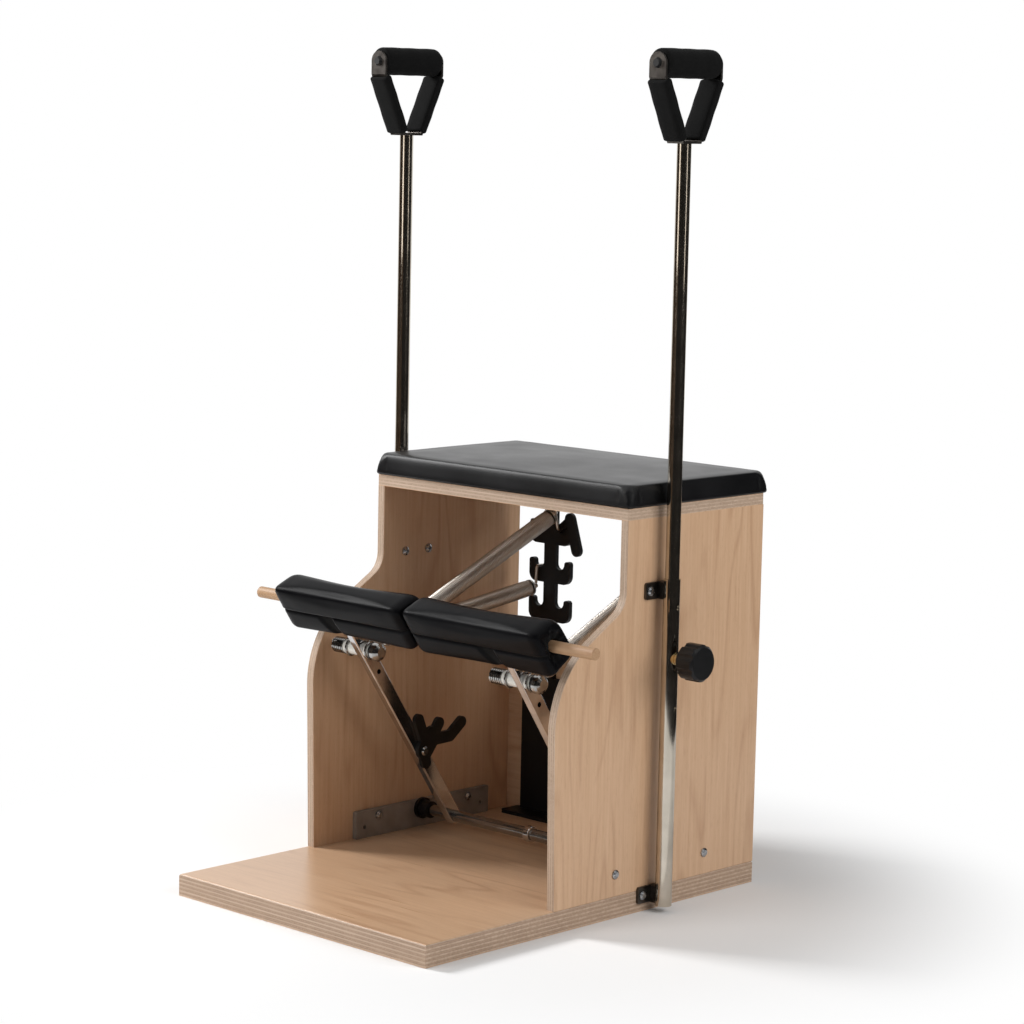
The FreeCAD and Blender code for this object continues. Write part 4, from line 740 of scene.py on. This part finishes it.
def card(name, points, columns, material, glossy_only):
    """Stage surface from a grid of points; a glossy-only one is seen by reflections and by nothing else."""
    place = np.arange(len(points)).reshape(-1, columns)
    faces = np.stack([place[:-1, :-1], place[:-1, 1:], place[1:, 1:], place[1:, :-1]], -1).reshape(-1, 4)
    mesh = bpy.data.meshes.new(name)
    mesh.from_pydata(points.tolist(), [], faces.tolist())
    mesh.materials.append(material)
    made = bpy.data.objects.new(name, mesh)
    scene.collection.objects.link(made)
    if glossy_only:
        made.visible_camera = made.visible_diffuse = made.visible_shadow = made.visible_transmission = False


def seen_white(tree):
    """One where the camera, a reflection or a clear surface looks, else zero."""
    path = add(tree, "LightPath").outputs
    seen = add(tree, "Math", {0: path["Is Camera Ray"], 1: path["Is Glossy Ray"]}, operation="MAXIMUM")
    seen = add(tree, "Math", {0: seen.outputs[0], 1: path["Is Transmission Ray"]}, operation="MAXIMUM")
    return seen.outputs[0]


def stand(made, back, place, roll=0.0):
    """Puts a lamp or camera at its place, with its back turned along back: right is level, and roll turns right
    towards up."""
    right = unit(np.cross(Z, back))
    up = np.cross(back, right)
    turned_right = math.cos(roll) * right + math.sin(roll) * up
    turned_up = math.cos(roll) * up - math.sin(roll) * right
    rows = np.column_stack([turned_right, turned_up, back, place])
    made.matrix_world = Matrix(np.vstack([rows, [0, 0, 0, 1]]).tolist())
    scene.collection.objects.link(made)


def surround():
    """White world, which lights the chair at a low even level."""
    world = bpy.data.worlds.new("white_surround")
    world.use_nodes = True
    scene.world = world
    tree = world.node_tree
    tree.nodes.clear()
    level = add(tree, "Background", {"Color": colour("#FFFFFF"), "Strength": 0.25}).outputs[0]
    white = add(tree, "Background", {"Color": colour("#FFFFFF"), "Strength": 1.0}).outputs[0]
    mixed = add(tree, "MixShader", {0: seen_white(tree), 1: level, 2: white}).outputs[0]
    add(tree, "OutputWorld", {"Surface": mixed})


def lamp(name, place, aim, size, power):
    """Square soft lamp."""
    data = bpy.data.lights.new(name, "AREA")
    data.shape, data.size, data.energy = "SQUARE", size, power
    stand(bpy.data.objects.new(name, data), unit(np.array(place, float) - aim), place)


def floor():
    """Pale floor: keeps the shadow near the chair and fades to the white surround further out."""
    made = bpy.data.materials.new("pale_floor")
    made.use_nodes = True
    tree = made.node_tree
    tree.nodes.clear()
    place = add(tree, "TexCoord").outputs["Object"]
    far = add(tree, "VectorMath", {0: place}, operation="LENGTH").outputs["Value"]
    far = add(tree, "MapRange", {"Value": far, "From Min": SHADOW_NEAR, "From Max": SHADOW_FAR},
              interpolation_type="SMOOTHSTEP").outputs["Result"]
    seen = add(tree, "LightPath").outputs["Is Camera Ray"]
    share = add(tree, "Math", {0: far, 1: seen}, operation="MULTIPLY").outputs[0]
    matt = add(tree, "BsdfDiffuse", {"Color": colour("#F4F4F4")}).outputs[0]
    white = add(tree, "Emission", {"Color": colour("#FFFFFF"), "Strength": 1.0}).outputs[0]
    mixed = add(tree, "MixShader", {0: share, 1: matt, 2: white}).outputs[0]
    add(tree, "OutputMaterial", {"Surface": mixed})
    ends = (-FLOOR_HALF, FLOOR_HALF)
    points = np.array([(x, y, -FLOOR_DROP) for x in ends for y in ends])
    card("floor", points, len(ends), made, False)


# Painted plaster of a dim room: broad, dull tones, which only the plated tubes show.
def room_wall(name, light, dark, headings, heights, distance, glow):
    """Part of a round room, which only reflections see, between two headings from the front towards the right:
    it gives the plated tubes their dark and bronze streaks, and a glowing strip of it their white line."""
    made = worked(name, light, dark, patch=0.5, rough=(0.9, 1.0), grit=0.1, depth=0.1 * MM,
                  Emission_Color=colour(light), Emission_Strength=glow)
    angle = np.radians(np.linspace(*headings, 25))
    rim = distance * np.column_stack([np.sin(angle), -np.cos(angle), 0 * angle])
    points = np.concatenate([rim + height * Z for height in heights])
    card(name, points, len(angle), made, True)


surround()
for name, facts in LAMPS.items():
    lamp(name, *facts)
floor()
for name, facts in ROOM.items():
    room_wall(name, *facts)


# Camera at the photograph's viewing angle

CAMERA_PLACE = (3.2183, -3.3016, 1.2124)
HEADING, TILT, ROLL = 0.7610, 0.1329, 0.0208   # radians
FOCAL_PIXELS, PICTURE_PIXELS, SENSOR = 3018.57, 1024, 36.0


def camera():
    """Camera from its place, its heading and tilt, and a slight roll; the picture is square."""
    data = bpy.data.cameras.new("camera")
    data.sensor_width = SENSOR
    data.lens = SENSOR * FOCAL_PIXELS / PICTURE_PIXELS
    made = bpy.data.objects.new("camera", data)
    back = np.array([math.sin(HEADING) * math.cos(TILT), -math.cos(HEADING) * math.cos(TILT), math.sin(TILT)])
    stand(made, back, CAMERA_PLACE, ROLL)
    scene.camera = made


camera()
scene.view_settings.view_transform = "Standard"
